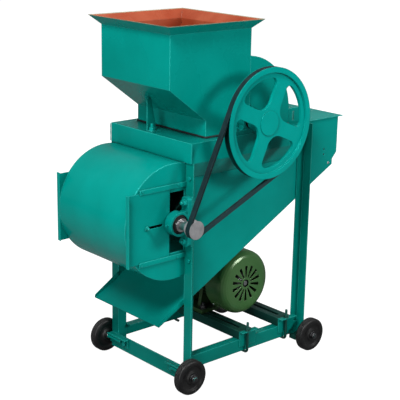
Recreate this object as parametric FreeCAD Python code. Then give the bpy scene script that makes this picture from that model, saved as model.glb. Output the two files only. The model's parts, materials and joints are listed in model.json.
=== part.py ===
"""Hopper-fed peeling machine: rotor over a sieve, air blower, belt drives and motor on a wheeled stand.

Layout: X runs along the machine, with the blower at the low end and the outlet chute at the high end.
Y runs across it, with the big pulley on the negative side. Z is up and the floor is zero.
All places are worked out from the rotor axis, then moved so that the origin lies on the floor
under the middle of the whole machine. Millimetres.
"""
import FreeCAD
import Part
import math
import os
from FreeCAD import Vector

# Sheet metal and the body
SHEET = 2.0
BODY_HALF = 149.0          # outer face of the side panels
BODY_FRONT = -217.0        # front plane of body and legs
FLOOR_SLOPE = 28.2         # degrees, sloping floor
FLOOR_FRONT_Z = 246.0      # floor height at the body's front plane
SPOUT_REACH = 87.0         # how far the spout runs out in front of the body
SPOUT_CHEEK = 15.0         # height of the spout's side cheeks at the body
CHUTE_END = 381.0
CHUTE_NOTCH = 18.0         # cut-off at the chute's lower corner
CHUTE_HOLE_R = 2.75
CHUTE_HOLE_PITCH = 16.0
CHUTE_HOLE_X = 325.0
CHUTE_HOLE_Z = 600.0
ROOF_OVERHANG = 17.0
ROOF_SIDE = 3.0

# Angle iron stand
ANGLE = 30.0
ANGLE_T = 3.0
REAR_LEG_X = 239.0
FRONT_RAIL_BOTTOM = 18.0
FRONT_RAIL = 45.0
FRONT_RAIL_T = 4.0
SIDE_RAIL_BOTTOM = 50.0
SIDE_RAIL = 38.0
SIDE_RAIL_FLANGE = 26.0
SIDE_RAIL_T = 4.0

# Wheels
WHEEL_R = 50.0
WHEEL_WIDTH = 26.0
WHEEL_OUT = 58.0           # wheel's outer face, out from the side panels
STUB_R = 6.0
SLEEVE_R = 8.5
RUN_GAP = 0.05             # radial clearance of a shaft in its bearing
REAR_WHEEL_X = 250.0

# Casing under the hopper
LEDGE_MARGIN = 0.5         # casing's edge outside the rotor blocks
LEDGE_FRONT = -221.0
LEDGE_REAR = 200.0
LEDGE_BOTTOM = 648.0
LEDGE_TOP = 703.0
APRON_DROP = 46.0
SEAL_T = 3.0

# Hopper and rotor cover
HOPPER_INSET = 3.0         # hopper's sides inside the body's
HOPPER_FRONT = -274.0
HOPPER_REAR = 13.0
HOPPER_TOP = 987.0
HOPPER_SLOPE_TOP = 845.0
THROAT_FRONT = -147.0
THROAT_TOP = 751.0
LIP_OUT = 26.0
LIP_RISE = 25.0
COVER_R = 170.0
SHAFT_HOLE_R = 16.0

# Pillow blocks
BLOCK_HEIGHT = 38.5
BLOCK_LENGTH = 138.0
BLOCK_BASE_T = 13.0
BLOCK_PITCH = 106.0
BLOCK_WIDTH = 26.0
BLOCK_R = 33.0
SHAFT_R = 12.5
BOLT_R = 5.0

# Blower
FAN_R = 161.0
FAN_AXIS_Z = 491.0
FAN_PAD_T = 3.5
IMPELLER_R = 138.0
IMPELLER_GAP = 17.0        # blades' ends inside the body's outer faces
INLET_BOTTOM = 406.0
INLET_TOP = 574.0
INLET_LENGTH = 122.0
SHUTTER_FRONT = -418.0
SHUTTER_REAR = -274.0
SHUTTER_BOTTOM = 396.0
SHUTTER_TOP = 588.0
SHUTTER_FLANGE = 12.0
SHUTTER_SLIDE = 50.0
SHUTTER_GAP = 0.3

# Rotor and sieve
ROTOR_R = 134.0
ROTOR_BAR_R = 10.0
ROTOR_BARS = 6
ROTOR_GAP = 19.0           # beater bars' ends inside the body's outer faces
SIEVE_R = 150.0

# Belt drives with wedge belts
BELT_TOP = 16.0
BELT_HEIGHT = 9.0
BELT_FLANK = 20.0          # degrees
BELT_GAP = 0.35
GROOVE_DEPTH = 10.5
PITCH_DROP = 3.0           # belt's outer face above its pitch line
DRIVE_OUT = 86.0           # belt planes, out from the side panels on both sides
RIM_WIDTH = 20.0
PULLEY_WIDTH = 19.0        # the three small pulleys
SHAFT_OUT = 10.0           # shaft ends beyond the belt plane
BIG_PITCH_R = 150.0
SMALL_PITCH_R = 22.0
FAN_NECK_R = 10.0          # blower shaft, turned down for its small pulley
FAN_HUB_REACH = 12.0
FAN_FAR_PITCH_R = 50.0
MOTOR_PITCH_R = 40.0
HUB_R = 34.0
SPOKE_HALF = 21.0
SPOKE_TURN = 21.5          # degrees, middle of the first window

# Motor and its rails
MOTOR_X = 95.0
MOTOR_HEIGHT = 100.0
MOTOR_FOOT_X = 80.0        # half of the foot bolt spacing
MOTOR_VENT_Y = -70.0
MOTOR_FRAME_Y0 = 5.0
MOTOR_FRAME_Y1 = 150.0
MOTOR_R = 80.0
MOTOR_FINS = 30
FAN_COVER_R = 98.0
FAN_COVER_BEND = 25.0
FAN_COVER_DEPTH = 72.0
MOTOR_SHAFT_R = 14.0
VENT_SLOTS = 14
VENT_R0 = 19.0             # where the slots of the fan cover start and end
VENT_R1 = 55.0
VENT_W0 = 4.6              # their widths there
VENT_W1 = 10.4
VENT_HUB_R = 12.0
MOTOR_TAIL_R = 7.0
MOTOR_RAIL_WIDTH = 50.0
MOTOR_RAIL_HEIGHT = 25.0
MOTOR_RAIL_T = 3.0
MOTOR_RAIL_SLOT = 11.0
RAIL_ANGLE_OUT = 16.0      # end angles beyond the side rails
RAIL_ANGLE_DROP = 47.0
RAIL_ANGLE_EXTRA = 13.0    # end angles wider than the rail, on one side

# Worked out from the sizes above
HOPPER_HALF = BODY_HALF - HOPPER_INSET
BLOCK_Y_ROTOR = HOPPER_HALF + 1.5 + BLOCK_WIDTH / 2
LEDGE_HALF = BLOCK_Y_ROTOR + BLOCK_WIDTH / 2 + LEDGE_MARGIN
WHEEL_FACE = BODY_HALF + WHEEL_OUT
DRIVE_PLANE = BODY_HALF + DRIVE_OUT
SHAFT_END = DRIVE_PLANE + SHAFT_OUT
IMPELLER_HALF = BODY_HALF - IMPELLER_GAP
ROTOR_HALF = BODY_HALF - ROTOR_GAP
ROTOR_Z = LEDGE_TOP + BLOCK_HEIGHT
FAN_X = BODY_FRONT - FAN_PAD_T - BLOCK_HEIGHT
LEG_OUT = BODY_HALF + ANGLE
RISE = math.tan(math.radians(FLOOR_SLOPE))
ROOF_END = CHUTE_END + ROOF_OVERHANG
FAN_FRONT = FAN_X - FAN_R
ORIGIN_X = (FAN_FRONT + ROOF_END) / 2
SIDE_RAIL_TOP = SIDE_RAIL_BOTTOM + SIDE_RAIL
RAIL_FACE = BODY_HALF + ANGLE_T + SIDE_RAIL_T
RAIL_ANGLE_REACH = RAIL_FACE + RAIL_ANGLE_OUT
MOTOR_RAIL_TOP = SIDE_RAIL_TOP + MOTOR_RAIL_HEIGHT
MOTOR_Z = MOTOR_RAIL_TOP + MOTOR_HEIGHT
RIM_FACE = DRIVE_PLANE + RIM_WIDTH / 2
PULLEY_FACE = DRIVE_PLANE + PULLEY_WIDTH / 2
FRONT_RAIL_FACE = BODY_FRONT - FRONT_RAIL_T
STUB_BRACKET_T = 4.0
FRONT_WHEEL_X = FRONT_RAIL_FACE - STUB_BRACKET_T - STUB_R + 0.5
WHEEL_INNER = WHEEL_FACE - WHEEL_WIDTH
PANEL_TOP = LEDGE_TOP - SHEET
COVER_BOTTOM = LEDGE_TOP + SEAL_T
BLOCK_Y_FAN = LEG_OUT - BLOCK_WIDTH / 2
SHUTTER_Y = BODY_HALF + SHUTTER_GAP

pieces = {}


def floor_z(x):
    """Height of the sloping floor's underside."""
    return FLOOR_FRONT_Z + RISE * (x - BODY_FRONT)


def box(x0, x1, y0, y1, z0, z1):
    """A block between two corners, given in any order."""
    low = Vector(min(x0, x1), min(y0, y1), min(z0, z1))
    return Part.makeBox(abs(x1 - x0), abs(y1 - y0), abs(z1 - z0), low)


def rod_y(x, z, r, y0, y1):
    """A round bar along Y."""
    return Part.makeCylinder(r, abs(y1 - y0), Vector(x, min(y0, y1), z), Vector(0, 1, 0))


def rod_x(y, z, r, x0, x1):
    """A round bar along X."""
    return Part.makeCylinder(r, abs(x1 - x0), Vector(min(x0, x1), y, z), Vector(1, 0, 0))


def rod_z(x, y, r, z0, z1):
    """A round bar along Z."""
    return Part.makeCylinder(r, abs(z1 - z0), Vector(x, y, min(z0, z1)), Vector(0, 0, 1))


def tube_y(x, z, r_out, r_in, y0, y1):
    """A round tube along Y."""
    return rod_y(x, z, r_out, y0, y1).cut(rod_y(x, z, r_in, y0, y1))


def slab(points, y0, y1):
    """A plate with its outline in XZ, between two Y planes."""
    low = min(y0, y1)
    corners = [Vector(x, low, z) for x, z in points]
    wire = Part.makePolygon(corners + corners[:1])
    return Part.Face(wire).extrude(Vector(0, abs(y1 - y0), 0))


def bar(points, x0, x1):
    """A bar with its section in YZ, between two X planes."""
    low = min(x0, x1)
    corners = [Vector(low, y, z) for y, z in points]
    wire = Part.makePolygon(corners + corners[:1])
    return Part.Face(wire).extrude(Vector(abs(x1 - x0), 0, 0))


def turned(x, z, profile):
    """A body turned about an axis along Y through x, z. The profile is a list of (radius, y)."""
    corners = [Vector(x + r, y, z) for r, y in profile]
    wire = Part.makePolygon(corners + corners[:1])
    return Part.Face(wire).revolve(Vector(x, 0, z), Vector(0, 1, 0), 360)


def spun_y(shape, x, z, degrees):
    """A copy turned about an axis along Y, from +X towards +Z."""
    copy = shape.copy()
    copy.rotate(Vector(x, 0, z), Vector(0, -1, 0), degrees)
    return copy


def flipped(shape):
    """The same piece for the other side of the machine."""
    return shape.mirror(Vector(0, 0, 0), Vector(0, 1, 0))


def joined(shapes):
    """Shapes welded into one."""
    first = shapes[0]
    rest = shapes[1:]
    if not rest:
        return first
    return first.multiFuse(rest).removeSplitter()


def both(shape):
    """A piece and its twin on the other side, as separate solids."""
    return Part.makeCompound([shape, flipped(shape)])


def hexagon(direction, centre, across, length):
    """A hexagon prism from centre along direction."""
    corner = across / math.sqrt(3)
    place = FreeCAD.Placement(centre, FreeCAD.Rotation(Vector(0, 0, 1), direction))
    points = []
    for k in range(7):
        angle = math.radians(60 * k)
        points.append(place.multVec(Vector(corner * math.cos(angle), corner * math.sin(angle), 0)))
    return Part.Face(Part.makePolygon(points)).extrude(direction * length)


def bolt(direction, seat, r, out, grip):
    """A bolt with its nut and washer on a seat, its head on the far side of what it grips."""
    shank = Part.makeCylinder(r, out + grip, seat - direction * grip, direction)
    head = hexagon(direction, seat - direction * (grip + 1.4 * r), 3.4 * r, 1.4 * r)
    washer = Part.makeCylinder(2.1 * r, 0.3 * r, seat, direction)
    nut = hexagon(direction, seat + direction * (0.3 * r), 3.4 * r, 1.6 * r)
    return joined([shank, head, washer, nut])


def cap_screw(direction, seat, r, under):
    """A hexagon head on a seat, with its shank reaching under it."""
    shank = Part.makeCylinder(r, under, seat - direction * under, direction)
    head = hexagon(direction, seat, 3.4 * r, 1.4 * r)
    return joined([shank, head])


UP = Vector(0, 0, 1)
FORWARD = Vector(-1, 0, 0)
NEAR = Vector(0, -1, 0)


def build_stand():
    """Angle-iron legs and rails. Near is the pulley side, then each has its twin."""
    leg_foot = FRONT_RAIL_BOTTOM + FRONT_RAIL_T
    corner_x = BODY_FRONT
    front = joined([
        box(corner_x, corner_x + ANGLE_T, -BODY_HALF, -LEG_OUT, leg_foot, LEDGE_BOTTOM),
        box(corner_x, corner_x + ANGLE, -BODY_HALF, -BODY_HALF - ANGLE_T, leg_foot,
            LEDGE_BOTTOM - APRON_DROP),
    ])
    screw_z = (378.0, 608.0)
    seat_y = -(BODY_HALF + ANGLE / 2 + ANGLE_T)
    for z in screw_z:
        front = front.cut(rod_x(seat_y, z, 3.0, corner_x - 1, corner_x + ANGLE_T + 1))
    for z in (FAN_AXIS_Z - BLOCK_PITCH / 2, FAN_AXIS_Z + BLOCK_PITCH / 2):
        front = front.cut(rod_x(-BLOCK_Y_FAN, z, BOLT_R, corner_x - 1, corner_x + ANGLE_T + 1))
    pieces["front_legs"] = both(front)
    screws = []
    for z in screw_z:
        screws.append(cap_screw(FORWARD, Vector(corner_x, seat_y, z), 3.0, ANGLE_T + 3))
    pieces["frame_bolts"] = Part.makeCompound(screws + [flipped(s) for s in screws])

    rear = joined([
        box(REAR_LEG_X - ANGLE_T, REAR_LEG_X, -BODY_HALF, -LEG_OUT, SIDE_RAIL_BOTTOM, PANEL_TOP),
        box(REAR_LEG_X - ANGLE, REAR_LEG_X, -BODY_HALF, -BODY_HALF - ANGLE_T, SIDE_RAIL_BOTTOM,
            PANEL_TOP),
    ])
    pieces["rear_legs"] = both(rear)

    inner = BODY_HALF + ANGLE_T
    rail = joined([
        box(BODY_FRONT + ANGLE_T, REAR_LEG_X - ANGLE_T, -inner, -RAIL_FACE, SIDE_RAIL_BOTTOM,
            SIDE_RAIL_TOP),
        box(BODY_FRONT + ANGLE + 1, REAR_LEG_X - ANGLE - 1, -inner, -RAIL_FACE + SIDE_RAIL_FLANGE,
            SIDE_RAIL_TOP - SIDE_RAIL_T, SIDE_RAIL_TOP),
    ])
    pieces["side_rails"] = both(rail)

    reach = LEG_OUT - ANGLE_T
    pieces["front_cross_rail"] = joined([
        box(FRONT_RAIL_FACE, BODY_FRONT, -reach, reach, FRONT_RAIL_BOTTOM,
            FRONT_RAIL_BOTTOM + FRONT_RAIL),
        box(FRONT_RAIL_FACE, FRONT_RAIL_FACE + FRONT_RAIL, -reach, reach, FRONT_RAIL_BOTTOM, leg_foot),
    ])
    cope = RAIL_FACE - SIDE_RAIL_FLANGE - 1
    pieces["rear_cross_rail"] = joined([
        box(REAR_LEG_X, REAR_LEG_X + SIDE_RAIL_T, -RAIL_FACE, RAIL_FACE, SIDE_RAIL_BOTTOM,
            SIDE_RAIL_TOP),
        box(REAR_LEG_X - SIDE_RAIL + SIDE_RAIL_T, REAR_LEG_X, -cope, cope, SIDE_RAIL_TOP - SIDE_RAIL_T,
            SIDE_RAIL_TOP),
    ])


def build_wheels():
    """Solid wheels on stub axles. The front stubs are bolted on the cross rail."""
    flange = 16.0
    drop = 30.0
    bracket_out = LEG_OUT - 1
    bracket_in = bracket_out - 86
    top = WHEEL_R + 12
    front = joined([
        box(FRONT_RAIL_FACE - STUB_BRACKET_T, FRONT_RAIL_FACE, -bracket_in, -bracket_out, top - drop, top),
        box(FRONT_RAIL_FACE - flange, FRONT_RAIL_FACE, -bracket_in, -bracket_out, top - STUB_BRACKET_T,
            top),
        rod_y(FRONT_WHEEL_X, WHEEL_R, STUB_R, -(bracket_out - 60), -(WHEEL_FACE + 12)),
    ])
    bolt_y = -(bracket_in + 16)
    bolt_z = 46.0
    hole = rod_x(bolt_y, bolt_z, 4.0, FRONT_RAIL_FACE - STUB_BRACKET_T - 1, BODY_FRONT + 1)
    pieces["front_stub_axles"] = both(front.cut(hole))
    pieces["front_cross_rail"] = pieces["front_cross_rail"].cut(hole).cut(flipped(hole))
    screw = cap_screw(FORWARD, Vector(FRONT_RAIL_FACE - STUB_BRACKET_T, bolt_y, bolt_z), 4.0,
                      STUB_BRACKET_T + FRONT_RAIL_T + 3)
    pieces["frame_bolts"] = Part.makeCompound([pieces["frame_bolts"], both(screw)])

    bar_top = SIDE_RAIL_BOTTOM
    rear = joined([
        box(REAR_LEG_X - ANGLE - 3, REAR_WHEEL_X + 14, -BODY_HALF - 3, -bracket_out, bar_top - 14, bar_top),
        rod_y(REAR_WHEEL_X, WHEEL_R, STUB_R, -(BODY_HALF + 3), -(WHEEL_FACE + 12)),
    ])
    pieces["rear_stub_axles"] = both(rear)

    half = WHEEL_WIDTH / 2
    edge = 5.0
    sleeves = []
    for end, x in (("front", FRONT_WHEEL_X), ("rear", REAR_WHEEL_X)):
        y_out = -WHEEL_FACE
        y_in = -WHEEL_INNER
        bore = SLEEVE_R + RUN_GAP
        profile = [
            (bore, y_out), (17, y_out), (19, y_out + 4), (34, y_out + 4), (37, y_out),
            (WHEEL_R - edge, y_out), (WHEEL_R - 1.5, y_out + 1.5), (WHEEL_R, y_out + edge),
            (WHEEL_R, y_in - edge), (WHEEL_R - 1.5, y_in - 1.5), (WHEEL_R - edge, y_in),
            (37, y_in), (34, y_in - 4), (19, y_in - 4), (17, y_in), (bore, y_in),
        ]
        wheel = turned(x, WHEEL_R, profile)
        pieces["wheel_" + end + "_near"] = wheel
        pieces["wheel_" + end + "_far"] = flipped(wheel)
        sleeve = tube_y(x, WHEEL_R, SLEEVE_R, STUB_R, -WHEEL_FACE - 0.4, -bracket_out)
        sleeves.append(sleeve)
        sleeves.append(flipped(sleeve))
    pieces["axle_sleeves"] = Part.makeCompound(sleeves)
    nuts = []
    for x in (FRONT_WHEEL_X, REAR_WHEEL_X):
        seat = Vector(x, -WHEEL_FACE - 0.4, WHEEL_R)
        washer = Part.makeCylinder(12.0, 1.6, seat, NEAR)
        nut = hexagon(NEAR, seat + NEAR * 1.6, 19.0, 8.0)
        nut = joined([washer, nut]).cut(rod_y(x, WHEEL_R, STUB_R, -half, -WHEEL_FACE - 30))
        nuts.append(nut)
        nuts.append(flipped(nut))
    pieces["axle_nuts"] = Part.makeCompound(nuts)


def build_motor_rails():
    """Two slotted rails across the stand, with end angles that hook bolts clamp on the side rails."""
    t = MOTOR_RAIL_T
    top = MOTOR_RAIL_TOP
    half = MOTOR_RAIL_WIDTH / 2
    hook_y = RAIL_FACE + t + 6.0
    hook_r = 4.0
    rails = []
    angles = []
    hooks = []
    for sign in (-1, 1):
        x = MOTOR_X + sign * MOTOR_FOOT_X
        rail = joined([
            box(x - half, x + half, -RAIL_FACE, RAIL_FACE, top - t, top),
            box(x - half, x - half + t, -RAIL_FACE, RAIL_FACE, SIDE_RAIL_TOP, top),
            box(x + half - t, x + half, -RAIL_FACE, RAIL_FACE, SIDE_RAIL_TOP, top),
        ])
        slot = box(x - MOTOR_RAIL_SLOT / 2, x + MOTOR_RAIL_SLOT / 2, 24 - RAIL_FACE, RAIL_FACE - 24,
                   top - t - 1, top + 1)
        rails.append(rail.cut(slot))
        wide = x + half + RAIL_ANGLE_EXTRA
        angle = joined([
            box(x - half, wide, -RAIL_FACE, -RAIL_FACE - t, top - RAIL_ANGLE_DROP, top),
            box(x - half, wide, -RAIL_FACE, -RAIL_ANGLE_REACH, top - t, top),
        ])
        angle = angle.cut(rod_z(x, -hook_y, hook_r, top - t - 1, top + 1))
        angles.append(angle)
        angles.append(flipped(angle))
        low = SIDE_RAIL_BOTTOM - hook_r - 0.4
        shank = rod_z(x, -hook_y, hook_r, low, top + 26)
        toe = rod_y(x, low, hook_r, -hook_y, -(RAIL_FACE - 12))
        elbow = Part.makeSphere(hook_r, Vector(x, -hook_y, low))
        washer = rod_z(x, -hook_y, 8.0, top, top + 1.5)
        nut = hexagon(UP, Vector(x, -hook_y, top + 1.5), 13.0, 7.0)
        hook = joined([shank, elbow, toe, washer, nut])
        hooks.append(hook)
        hooks.append(flipped(hook))
    pieces["motor_rails"] = Part.makeCompound(rails)
    pieces["rail_end_angles"] = Part.makeCompound(angles)
    pieces["rail_hook_bolts"] = Part.makeCompound(hooks)


def build_body():
    """Side panels, sloping floor with its spout, and the chute roof."""
    end = CHUTE_END
    foot_x = end - CHUTE_NOTCH
    outline = [
        (BODY_FRONT, FLOOR_FRONT_Z),
        (foot_x, floor_z(foot_x)),
        (foot_x, floor_z(foot_x) + 0.9 * CHUTE_NOTCH),
        (end, floor_z(foot_x) + 2 * CHUTE_NOTCH),
        (end, PANEL_TOP),
        (BODY_FRONT, PANEL_TOP),
    ]
    panel = slab(outline, -BODY_HALF, -BODY_HALF + SHEET)
    near = panel
    for step in (-0.5, 0.5):
        z = CHUTE_HOLE_Z + step * CHUTE_HOLE_PITCH
        near = near.cut(rod_y(CHUTE_HOLE_X, z, CHUTE_HOLE_R, -BODY_HALF - 1, -BODY_HALF + SHEET + 1))
    pieces["side_panel_near"] = near
    pieces["side_panel_far"] = flipped(panel)

    tip = BODY_FRONT - SPOUT_REACH
    inner = BODY_HALF - SHEET
    thick = SHEET / math.cos(math.radians(FLOOR_SLOPE))
    tray = slab([
        (tip, floor_z(tip)), (foot_x, floor_z(foot_x)),
        (foot_x, floor_z(foot_x) + thick), (tip, floor_z(tip) + thick),
    ], -inner, inner)
    cheek = slab([
        (tip, floor_z(tip)), (BODY_FRONT, FLOOR_FRONT_Z),
        (BODY_FRONT, FLOOR_FRONT_Z + thick + SPOUT_CHEEK), (tip, floor_z(tip) + thick + 1),
    ], -inner, -inner + SHEET)
    pieces["sloping_floor"] = joined([tray, cheek, flipped(cheek)])
    pieces["chute_roof"] = box(LEDGE_REAR, ROOF_END, -BODY_HALF - ROOF_SIDE, BODY_HALF + ROOF_SIDE,
                               PANEL_TOP, LEDGE_TOP)


def build_casing():
    """The shallow casing ring that carries the hopper, with its apron, and the seal on it."""
    side = joined([
        box(LEDGE_FRONT, LEDGE_REAR, -LEDGE_HALF, -LEDGE_HALF + SHEET, LEDGE_BOTTOM, PANEL_TOP),
        bar([
            (-LEDGE_HALF, LEDGE_BOTTOM), (-LEDGE_HALF + SHEET, LEDGE_BOTTOM),
            (-BODY_HALF, LEDGE_BOTTOM - APRON_DROP + 4), (-BODY_HALF, LEDGE_BOTTOM - APRON_DROP),
        ], BODY_FRONT + ANGLE_T, LEDGE_REAR),
    ])
    hole = HOPPER_HALF - 4
    top = box(LEDGE_FRONT, LEDGE_REAR, -LEDGE_HALF, LEDGE_HALF, PANEL_TOP, LEDGE_TOP)
    top = top.cut(box(THROAT_FRONT + 4, COVER_R - 4, -hole, hole, PANEL_TOP - 1, LEDGE_TOP + 1))
    front = box(LEDGE_FRONT, LEDGE_FRONT + SHEET, -LEDGE_HALF, LEDGE_HALF, LEDGE_BOTTOM, PANEL_TOP)
    end = bar([
        (-BODY_HALF, PANEL_TOP), (-LEDGE_HALF + SHEET, PANEL_TOP), (-LEDGE_HALF + SHEET, LEDGE_BOTTOM),
        (-BODY_HALF, LEDGE_BOTTOM - APRON_DROP + 4),
    ], LEDGE_REAR - SHEET, LEDGE_REAR)
    casing = joined([top, side, flipped(side), front, end, flipped(end)])
    bolts = []
    for x in (-BLOCK_PITCH / 2, BLOCK_PITCH / 2):
        hole = rod_z(x, -BLOCK_Y_ROTOR, BOLT_R, PANEL_TOP - 1, LEDGE_TOP + 1)
        casing = casing.cut(hole).cut(flipped(hole))
        bolts.append(bolt(UP, Vector(x, -BLOCK_Y_ROTOR, LEDGE_TOP + BLOCK_BASE_T), BOLT_R, 15,
                          BLOCK_BASE_T + SHEET))
    pieces["casing"] = casing
    pieces["block_bolts"] = Part.makeCompound(bolts + [flipped(b) for b in bolts])

    edge = HOPPER_HALF + 1
    outer = box(THROAT_FRONT - 1, COVER_R, -edge, edge, LEDGE_TOP, COVER_BOTTOM)
    inner = box(THROAT_FRONT + 4, COVER_R - 4, -edge + 5, edge - 5, LEDGE_TOP - 1, COVER_BOTTOM + 1)
    pieces["cover_seal"] = outer.cut(inner)


def slope_z(x):
    """Height of the hopper's sloping front wall, outside."""
    run = THROAT_FRONT - HOPPER_FRONT
    return THROAT_TOP + (THROAT_FRONT - x) * (HOPPER_SLOPE_TOP - THROAT_TOP) / run


def build_hopper():
    """The hopper with its flared lip, the round rotor cover beside it, its lugs and the front stay."""
    half = HOPPER_HALF
    s = SHEET
    arc_z = ROTOR_Z + math.sqrt(COVER_R ** 2 - HOPPER_REAR ** 2)
    outer = slab([
        (HOPPER_FRONT, HOPPER_TOP), (HOPPER_FRONT, HOPPER_SLOPE_TOP), (THROAT_FRONT, THROAT_TOP),
        (THROAT_FRONT, COVER_BOTTOM), (HOPPER_REAR, COVER_BOTTOM), (HOPPER_REAR, HOPPER_TOP),
    ], -half, half)
    inner = slab([
        (HOPPER_FRONT + s, HOPPER_TOP + 1), (HOPPER_FRONT + s, HOPPER_SLOPE_TOP + 0.5 * s),
        (THROAT_FRONT + s, THROAT_TOP + 0.5 * s), (THROAT_FRONT + s, COVER_BOTTOM - 1),
        (HOPPER_REAR + 1, COVER_BOTTOM - 1), (HOPPER_REAR + 1, arc_z), (HOPPER_REAR - s, arc_z),
        (HOPPER_REAR - s, HOPPER_TOP + 1),
    ], -half + s, half - s)

    def rim(x0, x1, y, z):
        corners = [Vector(x0, -y, z), Vector(x1, -y, z), Vector(x1, y, z), Vector(x0, y, z)]
        return Part.makePolygon(corners + corners[:1])

    top = HOPPER_TOP + LIP_RISE
    outside = Part.makeLoft([
        rim(HOPPER_FRONT, HOPPER_REAR, half, HOPPER_TOP),
        rim(HOPPER_FRONT - LIP_OUT, HOPPER_REAR + LIP_OUT, half + LIP_OUT, top),
    ], True, True)
    inside = Part.makeLoft([
        rim(HOPPER_FRONT + s, HOPPER_REAR - s, half - s, HOPPER_TOP),
        rim(HOPPER_FRONT - LIP_OUT + s, HOPPER_REAR + LIP_OUT - s, half + LIP_OUT - s, top),
    ], True, True)
    axle_hole = rod_y(0, ROTOR_Z, SHAFT_HOLE_R, -half - 1, half + 1)
    shell = joined([outer.cut(inner), outside.cut(inside)])
    pieces["hopper"] = shell.cut(axle_hole)

    r = COVER_R
    start = math.degrees(math.acos(HOPPER_REAR / r))
    ring = tube_y(0, ROTOR_Z, r, r - s, -half, half)
    keep = box(HOPPER_REAR, r + 1, -half, half, ROTOR_Z, ROTOR_Z + r + 1)
    skirt = box(r - s, r, -half, half, COVER_BOTTOM, ROTOR_Z)
    mid = math.radians(start / 2)
    edge = Part.makePolygon([
        Vector(0, -half, ROTOR_Z) + Vector(r, 0, 0), Vector(r, -half, COVER_BOTTOM),
        Vector(HOPPER_REAR, -half, COVER_BOTTOM), Vector(HOPPER_REAR, -half, arc_z),
    ])
    crown = Part.Arc(Vector(HOPPER_REAR, -half, arc_z),
                     Vector(r * math.cos(mid), -half, ROTOR_Z + r * math.sin(mid)),
                     Vector(r, -half, ROTOR_Z)).toShape()
    cheek = Part.Face(Part.Wire(edge.Edges + [crown])).extrude(Vector(0, s, 0))
    cover = joined([ring.common(keep), skirt, cheek, flipped(cheek)])
    pieces["rotor_cover"] = cover.cut(axle_hole)

    lug = box(COVER_R, COVER_R + 44, -half, -half + 3, LEDGE_TOP, LEDGE_TOP + 45)
    lug = lug.cut(box(COVER_R + 16, COVER_R + 23, -half - 1, -half + 4, LEDGE_TOP + 9, LEDGE_TOP + 36))
    pieces["cover_lugs"] = both(lug)

    stay_y = 16.0
    front = LEDGE_FRONT + 4
    web = slab([
        (front, LEDGE_TOP), (front + 31, LEDGE_TOP), (front + 31, LEDGE_TOP + 10),
        (front + 13, slope_z(front + 13)), (front, slope_z(front)),
    ], stay_y, stay_y + ANGLE_T)
    foot = box(front, front + 31, stay_y - 22, stay_y, LEDGE_TOP, LEDGE_TOP + ANGLE_T)
    seat = Vector(front + 9, stay_y - 11, LEDGE_TOP + ANGLE_T)
    bore = rod_z(seat.x, seat.y, BOLT_R, PANEL_TOP - 1, LEDGE_TOP + ANGLE_T + 1)
    pieces["hopper_stay"] = joined([web, foot]).cut(bore)
    pieces["casing"] = pieces["casing"].cut(bore)
    tilt = math.atan2(HOPPER_SLOPE_TOP - THROAT_TOP, THROAT_FRONT - HOPPER_FRONT)
    normal = Vector(-math.sin(tilt), 0, -math.cos(tilt))
    knob_x = front - 6
    knob_seat = Vector(knob_x, stay_y - 8, slope_z(knob_x))
    knob = bolt(normal, knob_seat, 4.0, 12, SHEET)
    through = Part.makeCylinder(4.0, 12, knob_seat + normal * 4, normal * -1)
    pieces["hopper"] = pieces["hopper"].cut(through)
    pieces["stay_bolts"] = Part.makeCompound([bolt(UP, seat, BOLT_R, 20, ANGLE_T + SHEET), knob])


def pillow_block():
    """A pillow block with its foot on z = 0 and its bore along Y at the block height."""
    half = BLOCK_WIDTH / 2
    base = box(-BLOCK_LENGTH / 2, BLOCK_LENGTH / 2, -half, half, 0, BLOCK_BASE_T)
    corners = [e for e in base.Edges if abs(e.tangentAt(e.FirstParameter).z) > 0.9]
    base = base.makeFillet(9.0, corners)
    web = slab([
        (-BLOCK_R, BLOCK_BASE_T), (BLOCK_R, BLOCK_BASE_T), (BLOCK_R - 5, BLOCK_HEIGHT - 8),
        (-BLOCK_R + 5, BLOCK_HEIGHT - 8),
    ], -half + 4, half - 4)
    ring = rod_y(0, BLOCK_HEIGHT, BLOCK_R, -half, half)
    sleeve_r = SHAFT_R + 5
    sleeve = rod_y(0, BLOCK_HEIGHT, sleeve_r, -half - 5, half + 1)
    nipple = rod_z(0, 0, 3.0, BLOCK_HEIGHT + BLOCK_R - 2, BLOCK_HEIGHT + BLOCK_R + 7)
    recess = tube_y(0, BLOCK_HEIGHT, BLOCK_R - 6, sleeve_r, -half - 1, -half + 8)
    recess_far = tube_y(0, BLOCK_HEIGHT, BLOCK_R - 6, sleeve_r, half - 5, half + 1)
    block = joined([base, web, ring, nipple, sleeve]).cut(recess).cut(recess_far)
    block = block.cut(rod_y(0, BLOCK_HEIGHT, SHAFT_R + RUN_GAP, -half - 9, half + 9))
    for x in (-BLOCK_PITCH / 2, BLOCK_PITCH / 2):
        block = block.cut(rod_z(x, 0, BOLT_R, -1, BLOCK_BASE_T + 1))
    return block


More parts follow.
